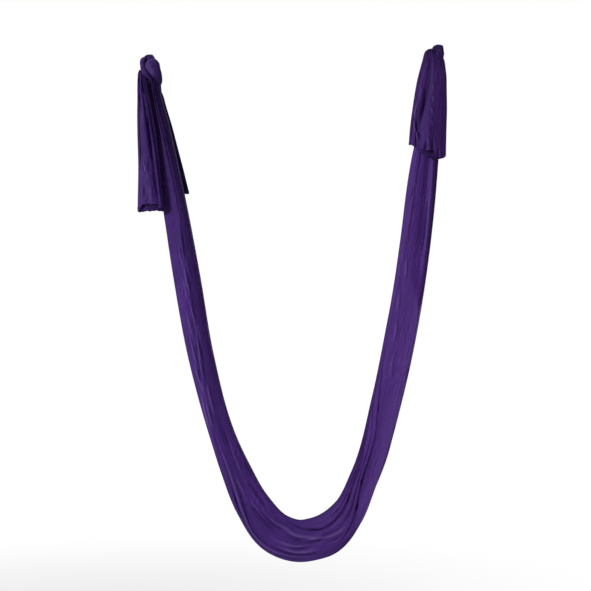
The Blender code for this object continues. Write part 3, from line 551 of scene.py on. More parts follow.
LEFT_CORE_ROUTE = (
    ((-0.002, 0.000, -0.012), 0.013, 0.018),
    ((0.002, 0.001, -0.026), 0.023, 0.028),
    ((0.006, -0.004, -0.046), 0.026, 0.031),
    ((0.010, -0.007, -0.064), 0.024, 0.025),
    ((0.011, -0.004, -0.080), 0.018, 0.015),
)
RIGHT_CORE_ROUTE = (
    ((-0.007, 0.000, -0.012), 0.013, 0.014),
    ((-0.010, 0.001, -0.026), 0.019, 0.023),
    ((-0.013, 0.001, -0.046), 0.023, 0.026),
    ((-0.015, 0.000, -0.064), 0.022, 0.020),
    ((-0.016, 0.000, -0.080), 0.016, 0.012),
)

# Where the turns of a knot have their inner side, from their own eye, and the length of each one's cloth
STEM_CENTRE = (0.0, 1.0, -0.06)
LOBE_CENTRE = (0.0, 0.06, -0.045)
BAND_CENTRE = (0.002, 0.0, -0.045)
STEM_LENGTH = 0.11
LOBE_LENGTH = 0.10
BAND_LENGTH = 0.22

# The bights of cloth round the hooks: radius to the middle of the cloth, its half thickness, where the
# arch starts and ends, and the number of points round it
EYE_ROUND = 0.0152
EYE_HALF_THICKNESS = 0.0074
EYE_ARCH = (math.radians(-52.0), math.radians(232.0))
EYE_POINTS = 13

# Shift to the side, half width and painted shade of each bight, at shares of the way round
EYE_SHAPES = {
    "left": (
        ((0.0, -0.001), (0.5, -0.003), (1.0, -0.001)),
        ((0.0, 0.017), (0.25, 0.017), (0.5, 0.0135), (0.75, 0.016), (1.0, 0.017)),
        ((0.0, 0.45), (0.4, 0.34), (1.0, 0.50)),
    ),
    "right": (
        ((0.0, -0.004), (0.5, -0.007), (1.0, -0.004)),
        ((0.0, 0.018), (0.20, 0.0178), (0.33, 0.0165), (0.40, 0.0120), (0.45, 0.0085), (0.5, 0.0070),
         (0.55, 0.0085), (0.60, 0.0120), (0.67, 0.0165), (0.80, 0.0178), (1.0, 0.018)),
        ((0.0, 0.75), (0.22, 0.70), (0.38, 0.25), (0.5, 0.0), (1.0, 0.40)),
    ),
}

# Where the camera of the photograph stood, and its lens
CAMERA_PLACE = (1.2453, -4.1335, -0.814)
CAMERA_TURN = math.radians(10.06)
CAMERA_LENS = 75.2
CAMERA_SENSOR = 36.0

# Cells of the noise before it repeats, and the turns at which the edge of a fold is rounded
NOISE_CELLS = 64
FOLD_STEPS = (math.radians(40.0), math.radians(90.0), math.radians(140.0))

# Outermost place of a crease across a face
OUTERMOST = 0.985

# Lift of a ridge or crease where its painted highlight or shade starts, and the further lift that it takes
LEAST_LIFT = 0.0008
RIDGE_LIFT = 0.0046
CREASE_LIFT = 0.0036

# Height of the wrinkles on the knots' turns, and size and height of their lumps
TURN_WRINKLE = 0.0006
LUMP_SIZE = 0.045
LUMP_HEIGHT = 0.0028
NO_DUSK = ((0.0, 0.0), (1.0, 0.0))

# Each knit's brightness, lower as painted shade on tails and knots, and how much bluer it turns in its
# clouds
KNITS = {
    "violet_knit": (1.0, 0.0),
    "violet_knit_tail": (0.74, 0.0),
    "violet_knit_knot_shaded": (0.66, 0.06),
}

# Scale of the wave texture for ribs one unit apart
WAVE_PER_RIB = 0.314

# The lamps' places and sizes, what they aim at, and half the floor's side
LAMPS = {
    "key_light": ((-3.4, -4.1, 1.1), 1.3),
    "fill_light": ((3.2, -3.0, 0.2), 2.2),
    "back_light": ((3.2, 3.2, 0.2), 1.8),
}
LAMP_AIM = (EYE_SPAN / 2.0, 0.0, -0.85)
FLOOR_HALF = 7.0


class HammockCloth(bpy.types.PropertyGroup):
    """Colours and finish of the cloth."""

    colour: FloatVectorProperty(
        name="Cloth colour", description="Colour of the cloth where light reaches it",
        subtype="COLOR", size=3, min=0.0, max=1.0, default=(0.058, 0.0185, 0.156),
    )
    # Painted shade: the colour laid on the cloth deep between the pleats, where shade falls
    crease_shade_colour: FloatVectorProperty(
        name="Crease colour", description="Colour deep between the pleats",
        subtype="COLOR", size=3, min=0.0, max=1.0, default=(0.017, 0.0040, 0.054),
    )
    # Painted highlight: the paler, bluer colour laid on ridges and wrinkles
    ridge_highlight_colour: FloatVectorProperty(
        name="Stretched colour", description="Colour on ridges, where the cloth is stretched thin",
        subtype="COLOR", size=3, min=0.0, max=1.0, default=(0.136, 0.078, 0.262),
    )
    roughness: FloatProperty(
        name="Roughness", description="How matt the cloth is", min=0.0, max=1.0, default=0.56
    )
    sheen: FloatProperty(
        name="Sheen", description="Soft glow of the knit's fibres at a low angle",
        min=0.0, max=1.0, default=0.02,
    )
    wale: FloatProperty(
        name="Wale", description="Distance between the knit's fine ribs", subtype="DISTANCE",
        unit="LENGTH", min=0.0003, max=0.004, default=0.0011,
    )


class HammockPleats(bpy.types.PropertyGroup):
    """How the cloth is folded."""

    sling_passes: IntProperty(
        name="Sling passes", description="Times each layer of the sling runs across the bundle",
        min=2, max=12, default=8,
    )
    tail_passes: IntProperty(
        name="Tail passes", description="Times a tail's cloth runs across it", min=2, max=24, default=17
    )
    wrinkle: FloatProperty(
        name="Wrinkle height", description="Height of the fine wrinkles on the pleats",
        subtype="DISTANCE", unit="LENGTH", min=0.0, max=0.004, default=0.0015,
    )
    rim: FloatProperty(
        name="Rim thickness", description="Thickness left at the bundle's rims, as a share of the middle",
        min=0.05, max=0.9, default=0.34,
    )
    stitch_pitch: FloatProperty(
        name="Stitch pitch", description="Distance from one hem stitch to the next", subtype="DISTANCE",
        unit="LENGTH", min=0.001, max=0.01, default=0.0032,
    )
    stitch_length: FloatProperty(
        name="Stitch length", description="Length of one hem stitch", subtype="DISTANCE", unit="LENGTH",
        min=0.0005, max=0.008, default=0.0023,
    )
    thread: FloatProperty(
        name="Thread", description="Radius of the hem's sewing thread", subtype="DISTANCE", unit="LENGTH",
        min=0.0001, max=0.001, default=0.00028,
    )


class HammockStage(bpy.types.PropertyGroup):
    """The studio round the hammock."""

    floor_drop: FloatProperty(
        name="Floor drop", description="Distance from the eyes down to the floor", subtype="DISTANCE",
        unit="LENGTH", min=1.8, max=4.0, default=2.30,
    )
    key_power: FloatProperty(
        name="Key light", description="Power of the main light, in watts",
        min=0.0, max=2000.0, default=268.0,
    )
    fill_power: FloatProperty(
        name="Fill light", description="Power of the light opposite the main one, in watts",
        min=0.0, max=2000.0, default=3.0,
    )
    back_power: FloatProperty(
        name="Back light", description="Power of the light behind the hammock, in watts",
        min=0.0, max=2000.0, default=130.0,
    )
    surround: FloatProperty(
        name="Surround light", description="Brightness of the light from all round",
        min=0.0, max=2.0, default=0.08,
    )


class HammockSettings(bpy.types.PropertyGroup):
    """All settings of the hammock."""

    cloth: PointerProperty(type=HammockCloth)
    pleats: PointerProperty(type=HammockPleats)
    stage: PointerProperty(type=HammockStage)


def eased(stops, places, held=False):
    """A smooth run through (place, value) stops, read at the given places.
    A held run never passes its stops."""
    at, values = np.array(stops, dtype=float).T
    slopes = np.gradient(values, at)
    if held:
        rises = np.diff(values) / np.diff(at)
        before = np.concatenate((rises[:1], rises))
        after = np.concatenate((rises, rises[-1:]))
        least = np.where(before * after > 0.0, np.minimum(np.abs(before), np.abs(after)), 0.0)
        slopes = np.sign(slopes) * np.minimum(np.abs(slopes), 3.0 * least)
    k = np.clip(np.searchsorted(at, places) - 1, 0, len(at) - 2)
    step = at[k + 1] - at[k]
    u = np.clip((places - at[k]) / step, 0.0, 1.0)
    start = (2 * u**3 - 3 * u**2 + 1) * values[k] + (u**3 - 2 * u**2 + u) * step * slopes[k]
    end = (3 * u**2 - 2 * u**3) * values[k + 1] + (u**3 - u**2) * step * slopes[k + 1]
    return start + end


def ramp(values, start, length):
    """0 up to the start, and then evenly up to 1 over the given length."""
    return np.clip((values - start) / length, 0.0, 1.0)


def grain(u, v, seed):
    """Smooth noise from -1 to 1 over a plane, with cells one unit wide."""
    cells = np.random.default_rng(seed).uniform(-1.0, 1.0, (NOISE_CELLS, NOISE_CELLS))
    u, v = np.broadcast_arrays(u, v)
    left, low = np.floor(u).astype(int), np.floor(v).astype(int)
    fu, fv = u - left, v - low
    fu, fv = fu * fu * (3 - 2 * fu), fv * fv * (3 - 2 * fv)
    near = cells[left % NOISE_CELLS, low % NOISE_CELLS]
    right = cells[(left + 1) % NOISE_CELLS, low % NOISE_CELLS]
    above = cells[left % NOISE_CELLS, (low + 1) % NOISE_CELLS]
    across = cells[(left + 1) % NOISE_CELLS, (low + 1) % NOISE_CELLS]
    return (near * (1 - fu) + right * fu) * (1 - fv) + (above * (1 - fu) + across * fu) * fv


def unit(vectors):
    return vectors / np.linalg.norm(vectors, axis=-1, keepdims=True)


def run_length(points):
    """How far along a line each of its points lies."""
    return np.concatenate(([0.0], np.cumsum(np.linalg.norm(np.diff(points, axis=0), axis=1))))


def spaced(points, count):
    """Evenly spaced rows on a smooth line through the given ones, and how far along each lies.
    A row's first three numbers are its place, and what follows them is eased along with it."""
    points = np.array(points, dtype=float)
    chords = run_length(points[:, :3])
    fine = np.linspace(0.0, chords[-1], 40 * len(points))
    smooth = np.column_stack([eased(np.column_stack((chords, column)), fine) for column in points.T])
    runs = run_length(smooth[:, :3])
    along = np.linspace(0.0, runs[-1], count)
    return np.column_stack([np.interp(along, runs, column) for column in smooth.T]), along


class Course:
    """Rows along a bundle: middles, ways across and out, half widths on both sides, and half thickness."""

    def __init__(self, middles, across, out, along, low, high, thick):
        self.middles = middles
        self.across = across
        self.out = out
        self.along = along
        self.low = np.broadcast_to(low, along.shape)
        self.high = np.broadcast_to(high, along.shape)
        self.thick = np.broadcast_to(thick, along.shape)

    def sideways(self, t):
        return t * np.where(t < 0.0, self.low[:, None], self.high[:, None])

    def place(self, t, level):
        """Points at places t across (-1 to 1) and levels out (1 is the face, 0 the middle)."""
        side = self.sideways(t)[:, :, None] * self.across[:, None, :]
        lift = (level * self.thick[:, None])[:, :, None] * self.out[:, None, :]
        return self.middles[:, None, :] + side + lift


class Face:
    """A pleated face: columns that follow its creases, with a place, a height and a crease shade each."""

    COLUMNS_PER_PLEAT = 8

    def __init__(self, creases, depths, seed, lean=0.75, roundness=0.5):
        rows = len(creases)
        edges = np.column_stack((np.full(rows, -1.0), creases, np.full(rows, 1.0)))
        floors = np.column_stack((np.full(rows, 0.92), depths, np.full(rows, 0.92)))
        down = np.linspace(0.0, 9.0, rows)
        steps = 0.5 - 0.5 * np.cos(math.pi * np.arange(self.COLUMNS_PER_PLEAT) / self.COLUMNS_PER_PLEAT)
        places, heights, shades = [], [], []
        for i in range(edges.shape[1] - 1):
            skew = np.exp(lean * grain(down * 0.35, i + 0.5, seed))[:, None]
            crest = 0.955 + 0.045 * grain(down * 0.8, i + 0.5, seed + 1)[:, None]
            bump = np.sin(math.pi * steps[None, :] ** skew) ** roundness
            floor = floors[:, i : i + 1] * (1.0 - steps) + floors[:, i + 1 : i + 2] * steps
            floor = np.minimum(floor, crest)
            places.append(edges[:, i : i + 1] * (1.0 - steps) + edges[:, i + 1 : i + 2] * steps)
            heights.append(floor + (crest - floor) * bump)
            # Painted shade in each crease, darker where the crease is deeper
            shades.append((1.0 - bump) * np.clip(2.4 * (0.97 - floor), 0.0, 1.0))
        places.append(np.full((rows, 1), 1.0))
        heights.append(floors[:, -1:])
        shades.append(np.zeros((rows, 1)))
        self.t = np.hstack(places)
        self.height = np.hstack(heights)
        self.shade = np.hstack(shades)

    def height_at(self, t):
        return np.array([np.interp(*row) for row in zip(t, self.t, self.height)])


def softened(heights):
    """Heights left in creases, with the slight ones nearly closed."""
    return 1.0 - np.clip(1.0 - heights, 0.0, 1.0) ** 1.6


def drawn_face(creases, shares, seed, least_gap=0.012, **shape):
    """A face from creases that are drawn as (places, heights) along the cloth."""
    places = np.column_stack([eased(line, shares) for line, _ in creases])
    depths = np.column_stack([eased(line, shares, held=True) for _, line in creases])
    for i in range(1, places.shape[1]):
        places[:, i] = np.maximum(places[:, i], places[:, i - 1] + least_gap)
    room = 1.0 - least_gap * np.arange(places.shape[1], 0, -1)
    return Face(np.clip(np.minimum(places, room), -OUTERMOST, OUTERMOST), softened(depths), seed, **shape)


def wandering_face(count, shares, seed, depth=0.62, wander=0.5, cells=7.0, **shape):
    """A face whose creases wander by themselves, as on the sides that the photograph doesn't show."""
    pitch = 2.0 / (count + 1)
    places, depths = [], []
    for i in range(count):
        drift = grain(shares * cells, i + 0.5, seed) * wander * pitch
        places.append(-1.0 + pitch * (i + 1) + drift)
        depths.append(depth + 0.24 * grain(shares * cells * 1.3, i + 0.5, seed + 7))
    places = np.sort(np.column_stack(places), axis=1)
    depths = softened(np.column_stack(depths))
    return Face(np.clip(places, -OUTERMOST, OUTERMOST), depths, seed, **shape)


class Form:
    """Thickness of a bundle across its width: 1 at its peak, down to the rim's share at both sides,
    with broad ridges and valleys on it. A keen form has flatter sides that meet in a ridge."""

    LEVEL = ((0.0, 0.0), (1.0, 0.0))

    def __init__(self, shares, rim, peak=LEVEL, swells=(), keen=0.0):
        self.rim = rim
        self.keen = keen
        self.peak = eased(peak, shares, held=True)[:, None]
        self.swells = [
            (eased(line, shares, held=True)[:, None], width, eased(rise, shares, held=True)[:, None])
            for line, width, rise in swells
        ]

    def at(self, t):
        before = (self.peak - t) / (1.0 + self.peak)
        after = (t - self.peak) / (1.0 - self.peak)
        away = np.where(t < self.peak, before, after)
        crown = (1.0 - np.clip(away, 0.0, 1.0) ** (2.0 - 0.7 * self.keen)) ** (0.5 + 0.3 * self.keen)
        thickness = self.rim + (1.0 - self.rim) * crown
        for line, width, rise in self.swells:
            thickness = thickness + rise * np.exp(-(((t - line) / width) ** 2))
        return thickness


class Layers:
    """A cloth folded to and fro across a course, from its outer face inwards."""

    INNER_COLUMNS = 9

    def __init__(self, course, face, passes, form, inner=0.0, last=0.0, seed=1, spread=None, inset=0.035):
        self.course = course
        rows = len(course.along)
        down = course.along * 7.0
        inner_places = np.sin(0.5 * math.pi * np.linspace(-1.0, 1.0, self.INNER_COLUMNS))
        if spread is None:
            spread = np.linspace(1.0, last, passes)[:, None] * np.ones(rows)
        blocks = [(face.t, inner + (face.height - inner) * spread[0][:, None], face.shade)]
        for j in range(1, passes):
            drawn_in = 1.0 - inset * (0.5 + 0.5 * grain(down, j + 0.5, seed + 3))
            if j == passes - 1 and last < 0.0:
                t, height, shade = face.t * drawn_in[:, None], face.height, face.shade
            else:
                t = inner_places[None, :] * drawn_in[:, None]
                height = face.height_at(t)
                # Painted shade on the inner passes, lying behind the outer face
                shade = np.full(t.shape, 0.55)
            ripple = 1.0 - 0.03 * grain(t * 4.0, down[:, None] * 0.7 + 3.0 * j, seed + 5)
            level = inner + (height * ripple - inner) * spread[j][:, None]
            blocks.append((t, level, shade))
        places, levels, shades = [], [], []
        for j, (t, level, shade) in enumerate(blocks):
            level = level * form.at(t)
            if j % 2:
                t, level, shade = t[:, ::-1], level[:, ::-1], shade[:, ::-1]
            if j:
                fold = self.fold(places[-1][:, -1], levels[-1][:, -1], t[:, 0], level[:, 0])
                places.append(fold[0])
                levels.append(fold[1])
                # Light painted shade on the rounded fold edges
                shades.append(np.full(fold[0].shape, 0.15))
            places.append(t)
            levels.append(level)
            shades.append(shade)
        self.face_columns = face.t.shape[1]
        self.t = np.hstack(places)
        self.level = np.hstack(levels)
        self.shade = np.hstack(shades)

    def fold(self, start_t, start_level, end_t, end_level):
        """The rounded edge between two passes of the cloth."""
        side = np.sign(start_t)
        half_gap = 0.5 * np.abs(start_level - end_level) * self.course.thick
        reach = np.where(side < 0.0, self.course.low, self.course.high)
        places, levels = [], []
        for angle in FOLD_STEPS:
            turned = 0.5 - 0.5 * math.cos(angle)
            bulge = side * half_gap * math.sin(angle) / reach
            places.append(start_t + (end_t - start_t) * turned + bulge)
            levels.append(start_level + (end_level - start_level) * turned)
        return np.column_stack(places), np.column_stack(levels)

    def points(self):
        return self.course.place(self.t, self.level)


def wrinkles(course, t, height, seed, run=1.0, slant=0.16):
    """Fine wrinkles on a face: long ridges down the cloth and short slanting ones, smooth between."""
    across = course.sideways(t)
    down = course.along[:, None]
    swell = grain(across / 0.026, down / 0.190, seed + 10)
    long_ridges = 0.5 - np.abs(grain(across / 0.0120, down / 0.190 + across * 3.0, seed)) * 1.6
    mid_ridges = 0.5 - np.abs(grain((across + slant * down) / 0.0090, down / 0.060, seed + 11)) * 1.5
    patch = np.clip(0.5 + 1.1 * grain(across / 0.045, down / 0.110, seed + 13), 0.0, 1.0)
    worked = np.clip(0.35 + 1.3 * grain(across / 0.070, down / 0.160, seed + 17), 0.0, 1.0)
    ridges = 0.6 * long_ridges * (1.0 - patch) + 0.9 * mid_ridges * patch
    return height * run * (1.3 * swell + ridges * worked)


def drawn_lines(course, shares, t, lines):
    """How far single wrinkles lift the face, each from one place to another along the cloth."""
    across = course.sideways(t)
    lift = np.zeros_like(across)
    for (start, first), (end, last), width, rise in lines:
        way = np.clip((shares - start) / (end - start), 0.0, 1.0)
        middle = (first + (last - first) * way)[:, None]
        fade = np.sin(math.pi * way)[:, None]
        lift += rise * fade * np.exp(-(((across - course.sideways(middle)) / width) ** 2))
    return lift


def painted_band_shade(t, shares, bands):
    """Painted shade that the broad bands lay at each place on a face; below zero it is painted highlight.
    """
    deeper = np.zeros_like(t)
    for line, width, depth in bands:
        away = (t - eased(line, shares, held=True)[:, None]) / width
        deeper += eased(depth, shares, held=True)[:, None] * np.exp(-(away**2))
    return deeper


def soft_noise(points, size, seed):
    """Three smooth offsets for points in space, from a few waves of about the given size."""
    waves = np.random.default_rng(seed)
    offset = np.zeros_like(points)
    for _ in range(7):
        way = unit(waves.normal(size=3)) * (2.0 * math.pi / size) * waves.uniform(0.6, 1.5)
        push = unit(waves.normal(size=3)) / 7.0
        offset += np.sin(points @ way + waves.uniform(0.0, 6.3))[..., None] * push
    return offset


def grid_normals(grid):
    down = np.gradient(grid, axis=0)
    across = np.gradient(grid, axis=1)
    normals = np.cross(down, across)
    return normals / np.maximum(np.linalg.norm(normals, axis=2, keepdims=True), 1e-12)


def cloth_piece(name, grid, shade, along, outward, material):
    """A mesh from a grid of points, with the cloth's own lengths as its UV map and its painted shade and
    highlight.
    """
    rows, columns = grid.shape[:2]
    index = np.arange(rows * columns).reshape(rows, columns)
    quads = np.stack((index[:-1, :-1], index[:-1, 1:], index[1:, 1:], index[1:, :-1]), axis=-1)
    middle_row = rows // 2
    facing = grid_normals(grid[middle_row - 1 : middle_row + 2])[1]
    first = len(outward) // 2
    if np.dot(facing[first], outward[first]) > 0.0:
        quads = quads[:, :, ::-1]
    quads = quads.reshape(-1, 4)
    mesh = bpy.data.meshes.new(name)
    mesh.from_pydata(grid.reshape(-1, 3).tolist(), [], quads.tolist())
    steps = np.linalg.norm(np.diff(grid, axis=1), axis=2).mean(axis=0)
    width_along = np.concatenate(([0.0], np.cumsum(steps)))
    chart = np.stack(np.broadcast_arrays(width_along[None, :], along[:, None]), axis=-1).reshape(-1, 2)
    corners = np.zeros(len(mesh.loops), dtype=np.int32)
    mesh.loops.foreach_get("vertex_index", corners)
    layer = mesh.uv_layers.new(name="cloth")
    layer.data.foreach_set("uv", chart[corners].astype(np.float32).ravel())
    mark = mesh.attributes.new("crease", "FLOAT", "POINT")
    mark.data.foreach_set("value", shade.astype(np.float32).ravel())
    mesh.shade_smooth()
    mesh.materials.append(material)
    piece = bpy.data.objects.new(name, mesh)
    bpy.context.scene.collection.objects.link(piece)
    return piece


class Wire:
    """A number in a material's node tree, which Python's own signs work on."""

    def __init__(self, paint, socket):
        self.paint = paint
        self.socket = socket

    def combine(self, operation, first, second):
        return self.paint.node("ShaderNodeMath", {"operation": operation}, {0: first, 1: second})

    def __add__(self, other):
        return self.combine("ADD", self, other)

    def __radd__(self, other):
        return self.combine("ADD", other, self)

    def __sub__(self, other):
        return self.combine("SUBTRACT", self, other)

    def __rsub__(self, other):
        return self.combine("SUBTRACT", other, self)

    def __mul__(self, other):
        return self.combine("MULTIPLY", self, other)

    def __rmul__(self, other):
        return self.combine("MULTIPLY", other, self)

    def __pow__(self, power):
        return self.combine("POWER", self, power)

    def __abs__(self):
        return self.combine("ABSOLUTE", self, 0.0)

    def floor_at(self, least):
        return self.combine("MAXIMUM", self, least)

    def held(self):
        """The number kept between 0 and 1."""
        return self.paint.node("ShaderNodeClamp", {}, {"Value": self})


class Paint:
    """The node tree of a material or of the world."""

    def __init__(self, tree):
        self.tree = tree

    def node(self, kind, settings=None, inputs=None, output=0):
        """Add a node: its settings first, then the values or links of its sockets. Returns one output."""
        made = self.tree.nodes.new(kind)
        for setting, value in (settings or {}).items():
            setattr(made, setting, value)
        for key, value in (inputs or {}).items():
            socket = made.inputs[key]
            if isinstance(value, Wire):
                self.tree.links.new(value.socket, socket)
            else:
                socket.default_value = value
        return Wire(self, made.outputs[output])

    def mix(self, factor, first, second):
        """A colour between two others."""
        return self.node(
            "ShaderNodeMix", {"data_type": "RGBA"}, {0: factor, 6: first, 7: second}, output=2
        )


def rgba(colour, strength=1.0):
    return (*(channel * strength for channel in colour), 1.0)


def creased(paint, chart, scale, turn, sharpness):
    """Thin wrinkle lines over the cloth: 1 on a wrinkle's ridge and 0 between."""
    turned = paint.node(
        "ShaderNodeMapping", {}, {"Vector": chart, "Scale": scale, "Rotation": (0.0, 0.0, turn)}
    )
    waves = paint.node(
        "ShaderNodeTexNoise", {}, {"Vector": turned, "Scale": 1.0, "Detail": 1.5, "Distortion": 0.3}
    )
    return (1.0 - abs(waves * 2.0 - 1.0) * 1.6).floor_at(0.0) ** sharpness


def knit_material(name, settings, tone, bluer):
    """Violet stretch knit: fine ribs, thin wrinkles, painted highlights on ridges and painted shade in the
    creases.
    """
    material = bpy.data.materials.new(name)
    material.use_nodes = True
    paint = Paint(material.node_tree)
    chart = paint.node("ShaderNodeUVMap", {"uv_map": "cloth"})
    crease = paint.node("ShaderNodeAttribute", {"attribute_name": "crease"}, output=2)
    place = paint.node("ShaderNodeTexCoord", output=3)
    ribs = paint.node(
        "ShaderNodeTexWave",
        {"wave_type": "BANDS", "bands_direction": "X", "wave_profile": "SIN"},
        {
            "Vector": chart,
            "Scale": WAVE_PER_RIB / settings.wale,
            "Distortion": 0.6,
            "Detail": 1.0,
            "Detail Scale": 0.4,
        },
        output=1,
    )
    long_lines = creased(paint, chart, (70.0, 5.0, 1.0), 0.03, 4.0)
    slanted = creased(paint, chart, (105.0, 16.0, 1.0), 0.30, 3.0)
    crossing = creased(paint, chart, (120.0, 26.0, 1.0), -0.42, 3.0)
    where = paint.node("ShaderNodeTexNoise", {}, {"Vector": place, "Scale": 11.0, "Detail": 1.0})
    aside = paint.node("ShaderNodeMapping", {}, {"Vector": place, "Location": (3.0, 1.0, 5.0)})
    elsewhere = paint.node("ShaderNodeTexNoise", {}, {"Vector": aside, "Scale": 9.0, "Detail": 1.0})
    clouds = paint.node("ShaderNodeTexNoise", {}, {"Vector": place, "Scale": 6.0, "Detail": 2.0})
    first_patch = paint.node(
        "ShaderNodeMapRange", {}, {"Value": where, "From Min": 0.46, "From Max": 0.64}
    )
    second_patch = paint.node(
        "ShaderNodeMapRange", {}, {"Value": elsewhere, "From Min": 0.48, "From Max": 0.66}
    )
    # Painted light: the cloth is made up to 18% brighter towards +X, over the right leg, which lies
    # further from the key light
    sides = paint.node("ShaderNodeSeparateXYZ", {}, {"Vector": place})
    lift = paint.node(
        "ShaderNodeMapRange",
        {"interpolation_type": "SMOOTHSTEP"},
        {"Value": sides, "From Min": 0.35, "From Max": 0.85, "To Min": 0.0, "To Max": 1.0},
    )
    lit = rgba(settings.colour, tone)
    cooler = (lit[0] * (0.84 - bluer), lit[1], lit[2] * 1.02, 1.0)
    warm = paint.mix(clouds, lit, cooler)
    brighter = paint.mix(lift, warm, rgba(settings.colour, 1.18 * tone))
    # Painted highlight along the thin wrinkle lines
    lines = long_lines * second_patch * 0.25 + slanted * first_patch * 0.8 + crossing * second_patch * 0.4
    wrinkle_highlights = paint.mix(lines, brighter, rgba(settings.colour, 1.45 * tone))
    # Painted highlight where the crease attribute is below zero
    pale = paint.mix((crease * -0.8).held(), wrinkle_highlights, rgba(settings.ridge_highlight_colour, tone))
    # Painted shade where the crease attribute is above zero
    shaded = paint.mix((crease * 1.1).held(), pale, rgba(settings.crease_shade_colour))
    rough = settings.roughness - 0.08 + 0.16 * clouds + 0.10 * crease
    runs = long_lines * (0.08 + 0.35 * second_patch)
    height = ribs * 0.03 + runs + slanted * first_patch * 1.8 + crossing * second_patch * 1.3
    bump = paint.node("ShaderNodeBump", {}, {"Strength": 1.0, "Distance": 0.001, "Height": height})
    shader = material.node_tree.nodes["Principled BSDF"]
    shader.inputs["Metallic"].default_value = 0.0
    shader.inputs["Specular IOR Level"].default_value = 0.10
    shader.inputs["Sheen Weight"].default_value = settings.sheen
    shader.inputs["Sheen Roughness"].default_value = 0.38
    shader.inputs["Sheen Tint"].default_value = (0.46, 0.34, 0.90, 1.0)
    links = material.node_tree.links
    links.new(shaded.socket, shader.inputs["Base Color"])
    links.new(rough.socket, shader.inputs["Roughness"])
    links.new(bump.socket, shader.inputs["Normal"])
    return material


def thread_material(settings):
    """The hem's sewing thread: the cloth's violet, a little brighter, with a fine twist."""
    material = bpy.data.materials.new("hem_thread")
    material.use_nodes = True
    paint = Paint(material.node_tree)
    place = paint.node("ShaderNodeTexCoord", output=3)
    twist = paint.node("ShaderNodeTexNoise", {}, {"Vector": place, "Scale": 900.0, "Detail": 2.0})
    colour = paint.mix(twist, rgba(settings.colour, 0.85), rgba(settings.colour, 1.5))
    rough = 0.42 + 0.2 * twist
    shader = material.node_tree.nodes["Principled BSDF"]
    material.node_tree.links.new(colour.socket, shader.inputs["Base Color"])
    material.node_tree.links.new(rough.socket, shader.inputs["Roughness"])
    return material


def shared_material(name, make):
    """The material of that name, made when it is first asked for."""
    return bpy.data.materials.get(name) or make()


def knit(context, name):
    """One of the knits that the cloth has, by its name."""
    settings = context.scene.hammock.cloth
    return shared_material(name, lambda: knit_material(name, settings, *KNITS[name]))


def bundle_width(fullness):
    narrow = THROAT_WIDTH + (STRAND_WIDTH - THROAT_WIDTH) * fullness
    wide = STRAND_WIDTH + (SEAT_WIDTH - STRAND_WIDTH) * (fullness - 1.0)
    return np.where(fullness < 1.0, narrow, wide)


def sling_course(side, thick_share=1.0):
    """The sling's rows, tucked into the knots at both ends, and each row's share of the way along."""
    fall = SEAT_FOOT + SEAT_WIDTH / 2.0 - THROAT_TOP
    drawn = [(x * EYE_SPAN, 0.0, THROAT_TOP + z * fall, full) for x, z, full in SLING_COURSE]
    first, last = drawn[0], drawn[-1]
    tuck_in = (first[0] - 0.004, 0.0, first[2] + SLING_TUCK, 0.0)
    tuck_out = (last[0] + 0.004, 0.0, last[2] + SLING_TUCK, 0.0)
    rows, _ = spaced([tuck_in, *drawn, tuck_out], SLING_ROWS)
    middles = rows[:, :3]
    along = run_length(middles)
    shares = (along - SLING_TUCK) / (along[-1] - 2.0 * SLING_TUCK)
    ahead = unit(np.gradient(middles, axis=0))
    across = np.column_stack((-ahead[:, 2], np.zeros(len(ahead)), ahead[:, 0]))
    half = bundle_width(rows[:, 3]) / 2.0
    depth = STRAND_DEPTH + (SEAT_DEPTH - STRAND_DEPTH) * np.clip(rows[:, 3] - 1.0, 0.0, 1.0)
    inside = np.clip(shares, 0.0, 1.0)
    low = half * eased(OUTER_REACH, inside)
    high = half * eased(INNER_REACH, inside)
    out = np.zeros_like(middles)
    out[:, 1] = side
    course = Course(middles, across, out, along, low, high, thick_share * depth / 2.0)
    return course, inside


def sling_piece(name, course, layers, shares, seed, context, lines=(), bands=()):
    pleats = context.scene.hammock.pleats
    grid = layers.points()
    run = eased(WRINKLE_RUN, shares)[:, None]
    face = slice(0, layers.face_columns)
    fine = wrinkles(course, layers.t[:, face], pleats.wrinkle, seed, run)
    single = drawn_lines(course, shares, layers.t[:, face], lines)
    grid[:, face] += (fine + single)[:, :, None] * course.out[:, None, :]
    outward = np.broadcast_to(course.out[len(course.out) // 2], (layers.face_columns, 3))
    length = course.along[-1]
    # Painted shade and shadow on the sling below each knot
    left_end = gathered_shade(shares * length, *LEFT_KNOT_SHADE)
    right_end = gathered_shade((1.0 - shares) * length, *RIGHT_KNOT_SHADE)
    shade = np.maximum(layers.shade, np.maximum(left_end, right_end))
    # Painted shade and highlight of the bands, painted highlight on ridges and painted shade in creases
    shade[:, face] += painted_band_shade(layers.t[:, face], shares, bands) - stretched(single + 0.5 * fine)
    return cloth_piece(name, grid, shade, course.along, outward, knit(context, "violet_knit"))


def stretched(lift):
    """How much painted highlight ridges of the given lift get, and, below zero, how much painted shade
    creases get.
    """
    return ramp(lift, LEAST_LIFT, RIDGE_LIFT) - 0.7 * ramp(-lift, LEAST_LIFT, CREASE_LIFT)


def gathered_shade(distance, reach, depth=0.85):
    """Painted shade and shadow near a knot, where the cloth is gathered, at distances from the knot."""
    return depth * np.exp(-((distance / reach) ** 1.5))[:, None]


def declare_layer(node):
    """Hide the frame node that a layer of the sling stands for."""
    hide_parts(node)


